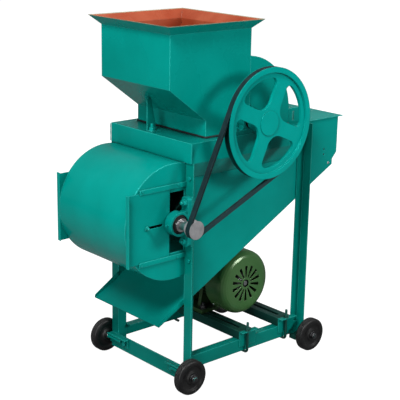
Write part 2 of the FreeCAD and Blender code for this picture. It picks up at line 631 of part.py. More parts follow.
def build_bearings():
    """Pillow blocks of the rotor on the casing, and of the blower on pads on the front legs."""
    rotor = pillow_block()
    rotor.translate(Vector(0, -BLOCK_Y_ROTOR, LEDGE_TOP))
    pieces["rotor_blocks"] = both(rotor)

    blower = pillow_block()
    blower.rotate(Vector(0, 0, 0), Vector(0, 1, 0), -90)
    seat_x = BODY_FRONT - FAN_PAD_T
    blower.translate(Vector(seat_x, -BLOCK_Y_FAN, FAN_AXIS_Z))
    pieces["fan_blocks"] = both(blower)
    half = BLOCK_WIDTH / 2
    pad = box(seat_x, BODY_FRONT, -BLOCK_Y_FAN - half, -BLOCK_Y_FAN + half,
              FAN_AXIS_Z - BLOCK_LENGTH / 2, FAN_AXIS_Z + BLOCK_LENGTH / 2)
    bolts = []
    for z in (FAN_AXIS_Z - BLOCK_PITCH / 2, FAN_AXIS_Z + BLOCK_PITCH / 2):
        pad = pad.cut(rod_x(-BLOCK_Y_FAN, z, BOLT_R, seat_x - 1, BODY_FRONT + 1))
        seat = Vector(seat_x - BLOCK_BASE_T, -BLOCK_Y_FAN, z)
        bolts.append(bolt(FORWARD, seat, BOLT_R, 15, BLOCK_BASE_T + FAN_PAD_T + ANGLE_T))
    pieces["fan_block_pads"] = both(pad)
    pieces["block_bolts"] = Part.makeCompound([pieces["block_bolts"]] + bolts + [flipped(b) for b in bolts])


def build_blower():
    """Blower housing with its air inlets, the sliding shutters, their guides and lock bolts."""
    x, z, r = FAN_X, FAN_AXIS_Z, FAN_R
    inner = BODY_HALF - SHEET
    shell = tube_y(x, z, r, r - SHEET, -inner, inner)
    shell = shell.cut(box(BODY_FRONT, x + r + 1, -inner - 1, inner + 1, z - r - 1, z + r + 1))
    low_z = z - math.sqrt(r ** 2 - (BODY_FRONT - x) ** 2)
    lip = box(BODY_FRONT, BODY_FRONT + 60, -inner, inner, low_z, low_z + SHEET)
    pieces["fan_shell"] = joined([shell, lip])

    disc = rod_y(x, z, r, -BODY_HALF, -inner)
    disc = disc.cut(box(BODY_FRONT, x + r + 1, -BODY_HALF - 1, -inner + 1, z - r - 1, z + r + 1))
    inlet_rear = BODY_FRONT - 5
    disc = disc.cut(box(inlet_rear - INLET_LENGTH, inlet_rear, -BODY_HALF - 1, -inner + 1,
                        INLET_BOTTOM, INLET_TOP))
    lock_x = SHUTTER_REAR - 77
    lock_r = 3.0
    disc = disc.cut(rod_y(lock_x, z, lock_r, -BODY_HALF - 1, -inner + 1))
    strip_reach = 4.0
    strips = []
    screws = []
    for edge, sign in ((SHUTTER_TOP, 1), (SHUTTER_BOTTOM, -1)):
        length = math.sqrt(r ** 2 - (edge + sign * 10 - z) ** 2)
        x0 = x - length + 4
        y0 = -BODY_HALF
        y1 = y0 - 2 * SHUTTER_GAP - SHEET
        clear = edge + sign * SHUTTER_GAP
        spacer = box(x0, BODY_FRONT, y0, y1, clear, clear + sign * 9)
        face = box(x0, BODY_FRONT, y1, y1 - 1.5, edge - sign * strip_reach, clear + sign * 9)
        strip = joined([spacer, face])
        for screw_x in (x0 + 8, BODY_FRONT - 30):
            screw_z = clear + sign * 4.5
            bore = rod_y(screw_x, screw_z, 1.6, -inner + 1, y1 - 3)
            strip = strip.cut(bore)
            disc = disc.cut(bore)
            screws.append(cap_screw(NEAR, Vector(screw_x, y1 - 1.5, screw_z), 1.6, 8))
        strips.append(strip)
    pieces["fan_end_plates"] = both(disc)
    pieces["shutter_guides"] = Part.makeCompound(strips + [flipped(s) for s in strips])
    pieces["guide_screws"] = Part.makeCompound(screws + [flipped(s) for s in screws])

    y0 = -SHUTTER_Y
    plate = box(SHUTTER_FRONT, SHUTTER_REAR, y0, y0 - SHEET, SHUTTER_BOTTOM, SHUTTER_TOP)
    flange = box(SHUTTER_FRONT, SHUTTER_FRONT + SHEET, y0, y0 - SHUTTER_FLANGE, SHUTTER_BOTTOM - 2,
                 SHUTTER_TOP + 2)
    slot_half = lock_r + 0.4
    slot = box(lock_x, lock_x + SHUTTER_SLIDE, y0 + 1, y0 - SHEET - 1, z - slot_half, z + slot_half)
    ends = [rod_y(px, z, slot_half, y0 + 1, y0 - SHEET - 1) for px in (lock_x, lock_x + SHUTTER_SLIDE)]
    shutter = joined([plate, flange]).cut(joined([slot] + ends))
    pieces["shutter_near"] = shutter
    pieces["shutter_far"] = flipped(shutter)
    seat = Vector(lock_x, y0 - SHEET - SHUTTER_GAP, z)
    pieces["shutter_lock_bolts"] = both(bolt(NEAR, seat, lock_r, 12, 2 * SHEET + 2 * SHUTTER_GAP))

    shoulder = DRIVE_PLANE - PULLEY_WIDTH / 2 - FAN_HUB_REACH
    pieces["fan_shaft"] = joined([
        rod_y(x, z, SHAFT_R, -shoulder, SHAFT_END),
        rod_y(x, z, FAN_NECK_R, -PULLEY_FACE + 3, -shoulder),
    ])
    blades = []
    for k in range(4):
        blade = box(x + 30, x + IMPELLER_R, -IMPELLER_HALF, IMPELLER_HALF, z - 1.5, z + 1.5)
        blades.append(spun_y(blade, x, z, 45 + 90 * k))
    ring_y = IMPELLER_HALF - 37
    for y in (-ring_y, ring_y):
        blades.append(tube_y(x, z, 60, SHAFT_R, y - 3, y + 3))
        blades.append(tube_y(x, z, 22, SHAFT_R, y - 14, y + 14))
    pieces["fan_wheel"] = joined(blades)


def build_rotor():
    """Rotor shaft, discs and beater bars, and the sieve under them."""
    z = ROTOR_Z
    pieces["rotor_shaft"] = rod_y(0, z, SHAFT_R, -RIM_FACE + 8, LEDGE_HALF + 10)
    discs = []
    bars = []
    outer_disc = ROTOR_HALF - 25
    for y in (-outer_disc, 0.0, outer_disc):
        disc = joined([
            tube_y(0, z, ROTOR_R - 2, SHAFT_R, y - 4, y + 4),
            tube_y(0, z, 28, SHAFT_R, y - 15, y + 15),
        ])
        for k in range(ROTOR_BARS):
            step = 360 / ROTOR_BARS
            hole = rod_y(ROTOR_R - ROTOR_BAR_R, z, ROTOR_BAR_R, y - 5, y + 5)
            window = rod_y(72, z, 20, y - 5, y + 5)
            disc = disc.cut(spun_y(hole, 0, z, k * step))
            disc = disc.cut(spun_y(window, 0, z, (k + 0.5) * step))
        discs.append(disc)
    for k in range(ROTOR_BARS):
        bar_k = rod_y(ROTOR_R - ROTOR_BAR_R, z, ROTOR_BAR_R, -ROTOR_HALF, ROTOR_HALF)
        bars.append(spun_y(bar_k, 0, z, k * 360 / ROTOR_BARS))
    pieces["rotor_discs"] = Part.makeCompound(discs)
    pieces["beater_bars"] = Part.makeCompound(bars)

    inner = BODY_HALF - SHEET
    sieve = tube_y(0, z, SIEVE_R, SIEVE_R - SHEET, -inner, inner)
    sieve = sieve.cut(box(-SIEVE_R - 1, SIEVE_R + 1, -inner - 1, inner + 1, PANEL_TOP - 6,
                          z + SIEVE_R + 1))
    cutters = []
    rows = 11
    cell = (2 * inner - 6) / 3
    half_slot = cell / 2 - 10
    for k in range(rows):
        angle = -160 + 140 * k / (rows - 1)
        for y in (-cell, 0.0, cell):
            cutter = box(SIEVE_R - 8, SIEVE_R + 6, y - half_slot, y + half_slot, z - 5, z + 5)
            cutters.append(spun_y(cutter, 0, z, angle))
    pieces["sieve"] = sieve.cut(Part.makeCompound(cutters))


def groove(r_out, plane):
    """Radius and place of a belt groove's four corners, from the negative side."""
    half = BELT_TOP / 2 + BELT_GAP
    foot = half - GROOVE_DEPTH * math.tan(math.radians(BELT_FLANK))
    return [(r_out, plane - half), (r_out - GROOVE_DEPTH, plane - foot),
            (r_out - GROOVE_DEPTH, plane + foot), (r_out, plane + half)]


def window_cutter(x, z, y0, y1, middle):
    """One pulley window: a rounded wedge between two spokes and the rim."""
    r_out = 123.0
    apex = SPOKE_HALF * math.sqrt(2)
    wedge = slab([(x + apex, z), (x + 190, z + 190 - apex), (x + 190, z - 190 + apex)], y0, y1)
    wedge = wedge.common(rod_y(x, z, r_out, y0, y1))
    sharp = []
    outer = []
    for edge in wedge.Edges:
        if abs(edge.tangentAt(edge.FirstParameter).y) > 0.9:
            point = edge.Vertexes[0].Point
            reach = math.hypot(point.x - x, point.z - z)
            if reach < 60:
                sharp.append(edge)
            else:
                outer.append(edge)
    wedge = wedge.makeFillet(36.0, sharp)
    outer = []
    for edge in wedge.Edges:
        if abs(edge.tangentAt(edge.FirstParameter).y) > 0.9:
            point = edge.Vertexes[0].Point
            if math.hypot(point.x - x, point.z - z) > r_out - 1:
                outer.append(edge)
    wedge = wedge.makeFillet(14.0, outer)
    return spun_y(wedge, x, z, middle)


def belt(x1, z1, r1, x2, z2, r2, plane):
    """A wedge belt round two pulleys, as turned wraps and straight runs. The radii are its outer face's."""
    dx, dz = x2 - x1, z2 - z1
    gap = math.hypot(dx, dz)
    line = math.degrees(math.atan2(dz, dx))
    lean = math.degrees(math.acos((r1 - r2) / gap))
    half = BELT_TOP / 2
    foot = half - BELT_HEIGHT * math.tan(math.radians(BELT_FLANK))

    def section(x, z, r, angle):
        corners = [(r, -half), (r, half), (r - BELT_HEIGHT, foot), (r - BELT_HEIGHT, -foot)]
        points = [Vector(x + q, plane + y, z) for q, y in corners]
        face = Part.Face(Part.makePolygon(points + points[:1]))
        return spun_y(face, x, z, angle)

    turns = [(x1, z1, r1, line + lean, 360 - 2 * lean), (x2, z2, r2, line - lean, 2 * lean)]
    parts = []
    for x, z, r, start, sweep in turns:
        parts.append(section(x, z, r, start).revolve(Vector(x, 0, z), Vector(0, -1, 0), sweep))
    for side in (line + lean, line - lean):
        a = math.radians(side)
        start = Vector(x1 + r1 * math.cos(a), 0, z1 + r1 * math.sin(a))
        stop = Vector(x2 + r2 * math.cos(a), 0, z2 + r2 * math.sin(a))
        parts.append(section(x1, z1, r1, side).extrude(stop - start))
    return joined(parts)


def plain_pulley(x, z, pitch_r, plane, bore_r, hub_r, hub_reach):
    """A small grooved pulley. The hub reaches towards the machine, the blind end away from it."""
    r = pitch_r + PITCH_DROP
    sign = 1 if plane > 0 else -1
    face = abs(plane) + PULLEY_WIDTH / 2
    back = abs(plane) - PULLEY_WIDTH / 2
    low = [(rr, sign * yy) for rr, yy in groove(r, abs(plane))]
    profile = [(bore_r, sign * (back - hub_reach)), (hub_r, sign * (back - hub_reach)), (hub_r, sign * back),
               (r, sign * back)] + low + [(r, sign * face), (bore_r, sign * face)]
    return turned(x, z, profile)


def build_drives():
    """Both belt drives: rotor to blower on the near side, blower to motor on the far side."""
    z = ROTOR_Z
    plane = -DRIVE_PLANE
    r = BIG_PITCH_R + PITCH_DROP
    rim_in = r - GROOVE_DEPTH - 6
    front = -RIM_FACE
    back = front + RIM_WIDTH
    web_front = front + 6
    web_back = web_front + 9
    hub_front = front + 4
    blind = hub_front + 4
    hub_back = -BLOCK_Y_ROTOR - BLOCK_WIDTH / 2 - 12
    groove_part = groove(r, plane)
    profile = [
        (0, hub_front), (HUB_R, hub_front), (HUB_R, web_front), (rim_in, web_front),
        (rim_in + 1, front), (r, front)] + groove_part + [
        (r, back), (rim_in, back), (rim_in, web_back), (HUB_R, web_back), (HUB_R - 4, hub_back),
        (SHAFT_R, hub_back), (SHAFT_R, blind), (0, blind),
    ]
    pulley = turned(0, z, profile)
    for k in range(4):
        pulley = pulley.cut(window_cutter(0, z, front - 5, back + 5, SPOKE_TURN + 90 * k))
    pieces["big_pulley"] = pulley

    small = plain_pulley(FAN_X, FAN_AXIS_Z, SMALL_PITCH_R, plane, FAN_NECK_R, 19.0, FAN_HUB_REACH)
    cap = rod_y(FAN_X, FAN_AXIS_Z, FAN_NECK_R, -PULLEY_FACE, -PULLEY_FACE + 3)
    pieces["fan_pulley_near"] = joined([small, cap])
    pieces["fan_pulley_far"] = plain_pulley(FAN_X, FAN_AXIS_Z, FAN_FAR_PITCH_R, DRIVE_PLANE, SHAFT_R,
                                            26.0, 14.0)
    pieces["motor_pulley"] = plain_pulley(MOTOR_X, MOTOR_Z, MOTOR_PITCH_R, DRIVE_PLANE, MOTOR_SHAFT_R,
                                          24.0, 14.0)
    pieces["near_belt"] = belt(0, z, r, FAN_X, FAN_AXIS_Z, SMALL_PITCH_R + PITCH_DROP, plane)
    pieces["far_belt"] = belt(FAN_X, FAN_AXIS_Z, FAN_FAR_PITCH_R + PITCH_DROP, MOTOR_X, MOTOR_Z,
                              MOTOR_PITCH_R + PITCH_DROP, DRIVE_PLANE)


def build_motor():
    """A finned, foot-mounted motor with a vented fan cover, a cooling fan and a terminal box."""
    x, z = MOTOR_X, MOTOR_Z
    y0, y1 = MOTOR_FRAME_Y0, MOTOR_FRAME_Y1
    core = rod_y(x, z, MOTOR_R - 8, y0, y1)
    parts = [core]
    for k in range(MOTOR_FINS):
        angle = 360 * k / MOTOR_FINS
        if 235 < angle < 305 or 65 < angle < 115:
            continue
        fin = box(x + MOTOR_R - 12, x + MOTOR_R, y0 + 3, y1 - 3, z - 1.3, z + 1.3)
        parts.append(spun_y(fin, x, z, angle))
    for y in (y0, y1 - 8):
        parts.append(rod_y(x, z, MOTOR_R + 2, y, y + 8))
    foot_y0, foot_y1 = 15.0, 142.0
    base = MOTOR_RAIL_TOP
    for sign in (-1, 1):
        inner = x + sign * 30
        outer = x + sign * (MOTOR_FOOT_X + 18)
        parts.append(box(inner, outer, foot_y0, foot_y1, base, base + 11))
        for y in (foot_y0 + 32, foot_y1 - 44):
            parts.append(slab([
                (inner, base + 11), (x + sign * (MOTOR_FOOT_X - 2), base + 11), (x + sign * 66, z - 34),
                (x + sign * 40, z - 50),
            ], y, y + 12))
    body = joined(parts)
    body = body.cut(rod_y(x, z, MOTOR_SHAFT_R + 2, y0 - 1, y1 + 1))
    bolt_ys = (foot_y0 + 15, foot_y1 - 15)
    bolts = []
    for sign in (-1, 1):
        for y in bolt_ys:
            px = x + sign * MOTOR_FOOT_X
            body = body.cut(rod_z(px, y, BOLT_R, base - 1, base + 12))
            bolts.append(bolt(UP, Vector(px, y, base + 11), BOLT_R, 18, 11 + MOTOR_RAIL_T))
    pieces["motor_body"] = body
    pieces["motor_foot_bolts"] = Part.makeCompound(bolts)

    pieces["motor_end_shield"] = turned(x, z, [
        (MOTOR_SHAFT_R + RUN_GAP, y1), (MOTOR_R + 2, y1), (MOTOR_R + 2, y1 + 9), (MOTOR_R - 8, y1 + 15),
        (38, y1 + 20), (34, y1 + 28), (MOTOR_SHAFT_R + RUN_GAP, y1 + 28),
    ])
    pieces["motor_rear_shield"] = turned(x, z, [
        (MOTOR_SHAFT_R + RUN_GAP, y0 - 14), (32, y0 - 14), (40, y0 - 9), (MOTOR_R + 2, y0 - 8),
        (MOTOR_R + 2, y0), (MOTOR_SHAFT_R + RUN_GAP, y0),
    ])

    face = MOTOR_VENT_Y
    r = FAN_COVER_R
    wall = SHEET
    back = face + FAN_COVER_DEPTH
    bend = FAN_COVER_BEND
    rounding = []
    hollow = []
    steps = 5
    for k in range(steps + 1):
        a = math.radians(90 * k / steps)
        rounding.append((r - bend + bend * math.sin(a), face + bend - bend * math.cos(a)))
        inner = bend - wall
        hollow.append((r - bend + inner * math.sin(a), face + bend - inner * math.cos(a)))
    shell = turned(x, z, [(0, face)] + rounding + [(r, back), (0, back)])
    cavity = turned(x, z, [(0, face + wall)] + hollow + [(r - wall, back + 1), (0, back + 1)])
    cover = shell.cut(cavity)
    collar = tube_y(x, z, r - wall, MOTOR_R + 2, y0 - 7, y0 - 3)
    cover = joined([cover, collar])
    for k in range(VENT_SLOTS):
        slot = slab([(x + VENT_R0, z - VENT_W0 / 2), (x + VENT_R1, z - VENT_W1 / 2),
                     (x + VENT_R1, z + VENT_W1 / 2), (x + VENT_R0, z + VENT_W0 / 2)], face - 1, face + wall + 1)
        cover = cover.cut(spun_y(slot, x, z, 360 * (k + 0.5) / VENT_SLOTS))
    cover = cover.cut(rod_y(x, z, VENT_HUB_R, face - 1, face + wall + 1))
    pieces["motor_fan_cover"] = cover

    tail = rod_y(x, z, MOTOR_TAIL_R, face + wall, face + 24)
    shaft = joined([rod_y(x, z, MOTOR_SHAFT_R, face + 22, SHAFT_END), tail])
    pieces["motor_shaft"] = shaft
    vanes = [tube_y(x, z, 26, MOTOR_SHAFT_R, face + 22, face + 50),
             tube_y(x, z, 72, 24, face + 46, face + 50)]
    for k in range(7):
        vane = box(x + 24, x + 74, face + 24, face + 48, z - 1.5, z + 1.5)
        vanes.append(spun_y(vane, x, z, 360 * k / 7))
    pieces["motor_cooling_fan"] = joined(vanes)

    box_z = z + MOTOR_R - 8
    body_box = box(x - 34, x + 34, 38, 112, box_z - 8, box_z + 30).cut(core)
    lid = box(x - 37, x + 37, 35, 115, box_z + 30, box_z + 36)
    gland = rod_x(75, box_z + 12, 9.0, x + 34, x + 50)
    gland_nut = hexagon(Vector(1, 0, 0), Vector(x + 34, 75, box_z + 12), 24.0, 7.0)
    gland = joined([gland, gland_nut]).cut(rod_x(75, box_z + 12, 4.5, x + 36, x + 51))
    pieces["terminal_box"] = joined([body_box, lid])
    pieces["cable_gland"] = gland


def main():
    build_stand()
    build_wheels()
    build_motor_rails()
    build_body()
    build_casing()
    build_hopper()
    build_bearings()
    build_blower()
    build_rotor()
    build_drives()
    build_motor()
    os.makedirs("parts", exist_ok=True)
    whole = FreeCAD.BoundBox()
    for name, shape in pieces.items():
        shape.translate(Vector(-ORIGIN_X, 0, 0))
        whole.add(shape.BoundBox)
        shape.exportStep("parts/" + name + ".step")
        print(name, len(shape.Solids), round(shape.Volume / 1000, 1), "cm3", shape.isValid())
    print(len(pieces), "pieces, bounds", whole)


main()
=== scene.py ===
# %% [markdown]
# # A hopper-fed peeling machine in teal enamel
# This lesson dresses a small workshop machine: a flared hopper over a rotor, a round blower with air
# shutters, an outlet chute, belt drives and a green motor, all on a wheeled stand of angle iron.
# Every solid part already has its true shape, so the work here is paint, metal, rubber and small detail.

# %% Load the solid parts
import json
import math
import random

import bmesh
import bpy
from mathutils import Matrix, Vector


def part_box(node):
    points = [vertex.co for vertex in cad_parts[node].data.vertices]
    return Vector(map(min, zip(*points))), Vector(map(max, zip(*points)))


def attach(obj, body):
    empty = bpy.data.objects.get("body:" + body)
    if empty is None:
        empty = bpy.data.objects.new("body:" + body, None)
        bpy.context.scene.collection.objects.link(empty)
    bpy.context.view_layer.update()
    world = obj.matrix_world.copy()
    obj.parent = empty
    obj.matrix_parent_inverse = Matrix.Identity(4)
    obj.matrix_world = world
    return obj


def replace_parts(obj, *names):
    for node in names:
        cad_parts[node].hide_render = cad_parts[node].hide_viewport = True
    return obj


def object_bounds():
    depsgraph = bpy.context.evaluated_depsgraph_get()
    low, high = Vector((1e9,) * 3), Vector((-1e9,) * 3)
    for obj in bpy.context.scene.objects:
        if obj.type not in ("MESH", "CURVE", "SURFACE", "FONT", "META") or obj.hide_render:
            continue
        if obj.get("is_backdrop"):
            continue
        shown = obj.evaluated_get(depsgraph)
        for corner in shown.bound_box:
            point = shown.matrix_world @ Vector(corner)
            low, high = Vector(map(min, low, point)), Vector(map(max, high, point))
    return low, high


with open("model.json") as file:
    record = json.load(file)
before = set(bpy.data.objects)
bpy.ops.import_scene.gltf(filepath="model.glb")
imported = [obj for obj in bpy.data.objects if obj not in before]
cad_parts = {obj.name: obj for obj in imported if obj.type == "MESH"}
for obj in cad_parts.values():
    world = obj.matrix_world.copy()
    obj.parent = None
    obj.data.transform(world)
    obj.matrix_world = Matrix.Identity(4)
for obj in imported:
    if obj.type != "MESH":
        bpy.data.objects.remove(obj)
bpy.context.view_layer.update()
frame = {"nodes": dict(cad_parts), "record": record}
nodes = frame["nodes"]

# %% [markdown]
# The light and the camera come first, because every colour is judged through them. The photograph was
# taken from the front left, a little above the hopper's slope. A long lens from three metres away keeps
# the verticals almost parallel. A camera could be aimed by hand, but here its place was measured from
# the machine's own corners, so it is written as numbers.

# %% Camera
scene = bpy.context.scene
camera_place = (-2.01708, -2.24212, 1.33203)
azimuth, elevation, roll = (math.radians(a) for a in (-41.66733, 15.86184, 1.05221))
sensor_width, picture_width, focal_pixels = 36, 400, 1076.838
ahead = Vector((-math.sin(azimuth) * math.cos(elevation), math.cos(azimuth) * math.cos(elevation),
                -math.sin(elevation)))
level_right = Vector((math.cos(azimuth), math.sin(azimuth), 0))
level_up = level_right.cross(ahead)
right = level_right * math.cos(roll) + level_up * math.sin(roll)
up = level_up * math.cos(roll) - level_right * math.sin(roll)
lens = bpy.data.cameras.new("lens")
lens.sensor_width = sensor_width
lens.lens = sensor_width * focal_pixels / picture_width
lens.clip_start, lens.clip_end = 0.1, 60
camera = bpy.data.objects.new("camera", lens)
scene.collection.objects.link(camera)
facing = Matrix((right, up, -ahead)).transposed().to_4x4()
camera.matrix_world = Matrix.Translation(Vector(camera_place)) @ facing
scene.camera = camera
scene.view_settings.view_transform = "Standard"
print("lens", round(lens.lens, 1), "mm, looking along", [round(v, 2) for v in ahead])

# %% [markdown]
# Glossy enamel shows the room it stands in. A white room would wash the teal out to grey, so the world
# and the floor look white to the camera but are dim for everything else.

# %% World
def wire(tree, *pairs):
    """Links outputs to inputs, given as (output, input)."""
    for source, target in pairs:
        tree.links.new(source, target)


def fill(node, **values):
    """Sets the inputs of a node. An underscore stands for a space."""
    for label, value in values.items():
        node.inputs[label.replace("_", " ")].default_value = value


def felt_or_seen(tree, felt, seen, output):
    """Shows one light or surface to the camera, and the other to everything else."""
    ray = tree.nodes.new("ShaderNodeLightPath")
    pick = tree.nodes.new("ShaderNodeMixShader")
    wire(tree, (ray.outputs["Is Camera Ray"], pick.inputs[0]), (felt, pick.inputs[1]),
         (seen, pick.inputs[2]), (pick.outputs[0], output))


world = bpy.data.worlds.new("studio")
scene.world = world
world.use_nodes = True
room = world.node_tree
room.nodes.clear()
sky = room.nodes.new("ShaderNodeOutputWorld")
dim, white = room.nodes.new("ShaderNodeBackground"), room.nodes.new("ShaderNodeBackground")
fill(dim, Color=(0.93, 0.97, 1.0, 1), Strength=0.17)
fill(white, Color=(1, 1, 1, 1), Strength=1.0)
felt_or_seen(room, dim.outputs[0], white.outputs[0], sky.inputs["Surface"])
print("world", world.name)

# %% [markdown]
# Large soft lamps give the paint its broad highlights: the key lamp stands to the left of the camera and
# the fill to its right. A back lamp lights the sides that the camera never sees. Flat tops would mirror
# it, so it is left out of reflections.

# %% Lamps
def lamp(name, place, target, size, power):
    """A rectangular soft lamp aimed at a point."""
    data = bpy.data.lights.new(name, "AREA")
    data.shape = "RECTANGLE"
    data.size, data.size_y = size
    data.energy = power
    thing = bpy.data.objects.new(name, data)
    scene.collection.objects.link(thing)
    place = Vector(place)
    thing.location = place
    thing.rotation_mode = "QUATERNION"
    thing.rotation_quaternion = (Vector(target) - place).to_track_quat("-Z", "Y")
    return thing


lamp("key_lamp", place=(-2.3, -1.1, 3.4), target=(-0.2, 0, 0.7), size=(1.0, 1.0), power=132)
lamp("front_lamp", place=(-3.7, -1.3, 0.85), target=(-0.2, 0, 0.8), size=(1.6, 1.2), power=57)
lamp("fill_lamp", place=(1.6, -3.65, 2.0), target=(0.1, 0, 0.7), size=(1.1, 0.9), power=94)
lamp("top_lamp", place=(0.4, 0.3, 3.6), target=(0, 0, 0.6), size=(1.8, 1.8), power=20)
back_lamp = lamp("back_lamp", place=(2.8, 2.9, 1.5), target=(0, 0, 0.6), size=(2.2, 1.6), power=85)
back_lamp.visible_glossy = False

# %% [markdown]
# The floor is one wide sheet of pale paper. For the camera it glows white and still takes a shadow, and
# for the machine it is a grey sheet that sends little light back up.

# %% Floor
finishes = {}


def new_finish(slot, name):
    """Keeps a new material under its slot. Returns its tree and shader."""
    finishes[slot] = bpy.data.materials.new(name)
    finishes[slot].use_nodes = True
    tree = finishes[slot].node_tree
    return tree, tree.nodes["Principled BSDF"]


reach = 30
floor_mesh = bpy.data.meshes.new("floor")
floor_corners = [(-reach, -reach, 0), (reach, -reach, 0), (reach, reach, 0), (-reach, reach, 0)]
floor_mesh.from_pydata(floor_corners, [], [(0, 1, 2, 3)])
floor = bpy.data.objects.new("floor", floor_mesh)
scene.collection.objects.link(floor)
floor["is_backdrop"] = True
paper, paper_face = new_finish("floor", "pale_floor")
fill(paper_face, Base_Color=(0.16, 0.16, 0.16, 1), Roughness=0.9)
glow = paper.nodes.new("ShaderNodeEmission")
glowing_paper = paper.nodes.new("ShaderNodeAddShader")
wire(paper, (glow.outputs[0], glowing_paper.inputs[0]), (paper_face.outputs[0], glowing_paper.inputs[1]))
felt_or_seen(paper, paper_face.outputs[0], glowing_paper.outputs[0],
             paper.nodes["Material Output"].inputs["Surface"])
floor_mesh.materials.append(finishes["floor"])
print("floor", 2 * reach, "m wide")

# %% [markdown]
# Several finishes share the same effects, and each effect is built once as a node group. A few helpers
# place the nodes that come up again.

# %% Helpers for nodes
def new_group(name, inputs, outputs):
    """An empty node group with named sockets: (name, type, default)."""
    tree = bpy.data.node_groups.new(name, "ShaderNodeTree")
    for label, kind, default in inputs:
        socket = tree.interface.new_socket(label, in_out="INPUT", socket_type="NodeSocket" + kind)
        socket.default_value = default
    for label, kind in outputs:
        tree.interface.new_socket(label, in_out="OUTPUT", socket_type="NodeSocket" + kind)
    return tree, tree.nodes.new("NodeGroupInput"), tree.nodes.new("NodeGroupOutput")


def feed(tree, value, socket):
    """Links a socket to another one, or sets it to a plain value."""
    if isinstance(value, bpy.types.NodeSocket):
        tree.links.new(value, socket)
    else:
        socket.default_value = value


def number(tree, operation, *values, clamp=False):
    """A math node whose inputs are numbers or sockets."""
    node = tree.nodes.new("ShaderNodeMath")
    node.operation = operation
    node.use_clamp = clamp
    for value, socket in zip(values, node.inputs):
        feed(tree, value, socket)
    return node.outputs[0]


def product(tree, value, *factors):
    """A value multiplied by every factor."""
    for factor in factors:
        value = number(tree, "MULTIPLY", value, factor)
    return value


def ramp(tree, source, low, high):
    """Stretches low..high to 0..1 and clamps."""
    node = tree.nodes.new("ShaderNodeMapRange")
    fill(node, From_Min=low, From_Max=high)
    tree.links.new(source, node.inputs["Value"])
    return node.outputs["Result"]


def mix(tree, factor, first, second):
    """A colour mix whose inputs are sockets or colours."""
    node = tree.nodes.new("ShaderNodeMix")
    node.data_type = "RGBA"
    for place, value in ((0, factor), (6, first), (7, second)):
        feed(tree, value, node.inputs[place])
    return node.outputs[2]


def noise_at(tree, place, scale, detail):
    """A noise texture read at a place."""
    node = tree.nodes.new("ShaderNodeTexNoise")
    fill(node, Detail=detail)
    feed(tree, scale, node.inputs["Scale"])
    tree.links.new(place, node.inputs["Vector"])
    return node.outputs["Fac"]


def own_place(tree):
    """Where a point lies on its own piece."""
    return tree.nodes.new("ShaderNodeTexCoord").outputs["Object"]


def apart(tree, label):
    """X, Y and Z of a point's place in the scene, or of its normal."""
    point = tree.nodes.new("ShaderNodeNewGeometry")
    node = tree.nodes.new("ShaderNodeSeparateXYZ")
    tree.links.new(point.outputs[label], node.inputs[0])
    return node.outputs


print("node helpers ready")

# %% [markdown]
# The first group softens sharp edges: folded sheet and angle iron have small round corners that catch
# the light. A real bevel on every solid would be heavy, so the group averages the normal over a small
# radius, and tells how much the edge turns, as a mask. The finishes tint edges by this mask: a pale tint
# is a painted highlight, a dark one painted shade.

# %% Soft edges
soft_edges, given, made = new_group(
    "soft_edges", [("Radius", "Float", 0.0015)], [("Edge", "Float"), ("Normal", "Vector")])
rounded = soft_edges.nodes.new("ShaderNodeBevel")
rounded.samples = 6
true_face = soft_edges.nodes.new("ShaderNodeNewGeometry")
agree = soft_edges.nodes.new("ShaderNodeVectorMath")
agree.operation = "DOT_PRODUCT"
wire(soft_edges, (given.outputs["Radius"], rounded.inputs["Radius"]),
     (rounded.outputs[0], agree.inputs[0]), (true_face.outputs["Normal"], agree.inputs[1]),
     (rounded.outputs[0], made.inputs["Normal"]))
turning = number(soft_edges, "SUBTRACT", 1.0, agree.outputs["Value"])
wire(soft_edges, (ramp(soft_edges, turning, 0.02, 0.25), made.inputs["Edge"]))
print("group", soft_edges.name)

# %% [markdown]
# Painted sheet is never dead flat. It has shallow waves from rolling and welding, which bend its
# reflections, and a fine orange-peel grain from the spray gun. The group adds both as one height.

# %% Sheet surface
sheet_surface, given, made = new_group(
    "sheet_surface", [("Waves", "Float", 1.0), ("Grain", "Float", 1.0)], [("Height", "Float")])
where = own_place(sheet_surface)
grain_height = 0.006
waves = noise_at(sheet_surface, where, scale=7.0, detail=1.0)
grain = noise_at(sheet_surface, where, scale=900.0, detail=2.0)
slow = product(sheet_surface, waves, given.outputs["Waves"])
fine = product(sheet_surface, grain, given.outputs["Grain"], grain_height)
wire(sheet_surface, (number(sheet_surface, "ADD", slow, fine), made.inputs["Height"]))
print("group", sheet_surface.name)

# %% [markdown]
# The tone group clouds a colour between a deep and a light tone, as uneven enamel does. It also gives the
# clouds as a mask, so that the gloss can change with them.

# %% Paint tone
paint_tone, given, made = new_group(
    "paint_tone", [("Deep", "Color", (0, 0.2, 0.2, 1)), ("Light", "Color", (0, 0.4, 0.4, 1)),
                   ("Cloud size", "Float", 6.0)], [("Color", "Color"), ("Cloud", "Float")])
cloud = noise_at(paint_tone, own_place(paint_tone), scale=given.outputs["Cloud size"], detail=4.0)
clouds = ramp(paint_tone, cloud, 0.32, 0.68)
tone = mix(paint_tone, clouds, given.outputs["Deep"], given.outputs["Light"])
wire(paint_tone, (tone, made.inputs["Color"]), (clouds, made.inputs["Cloud"]))
print("group", paint_tone.name)
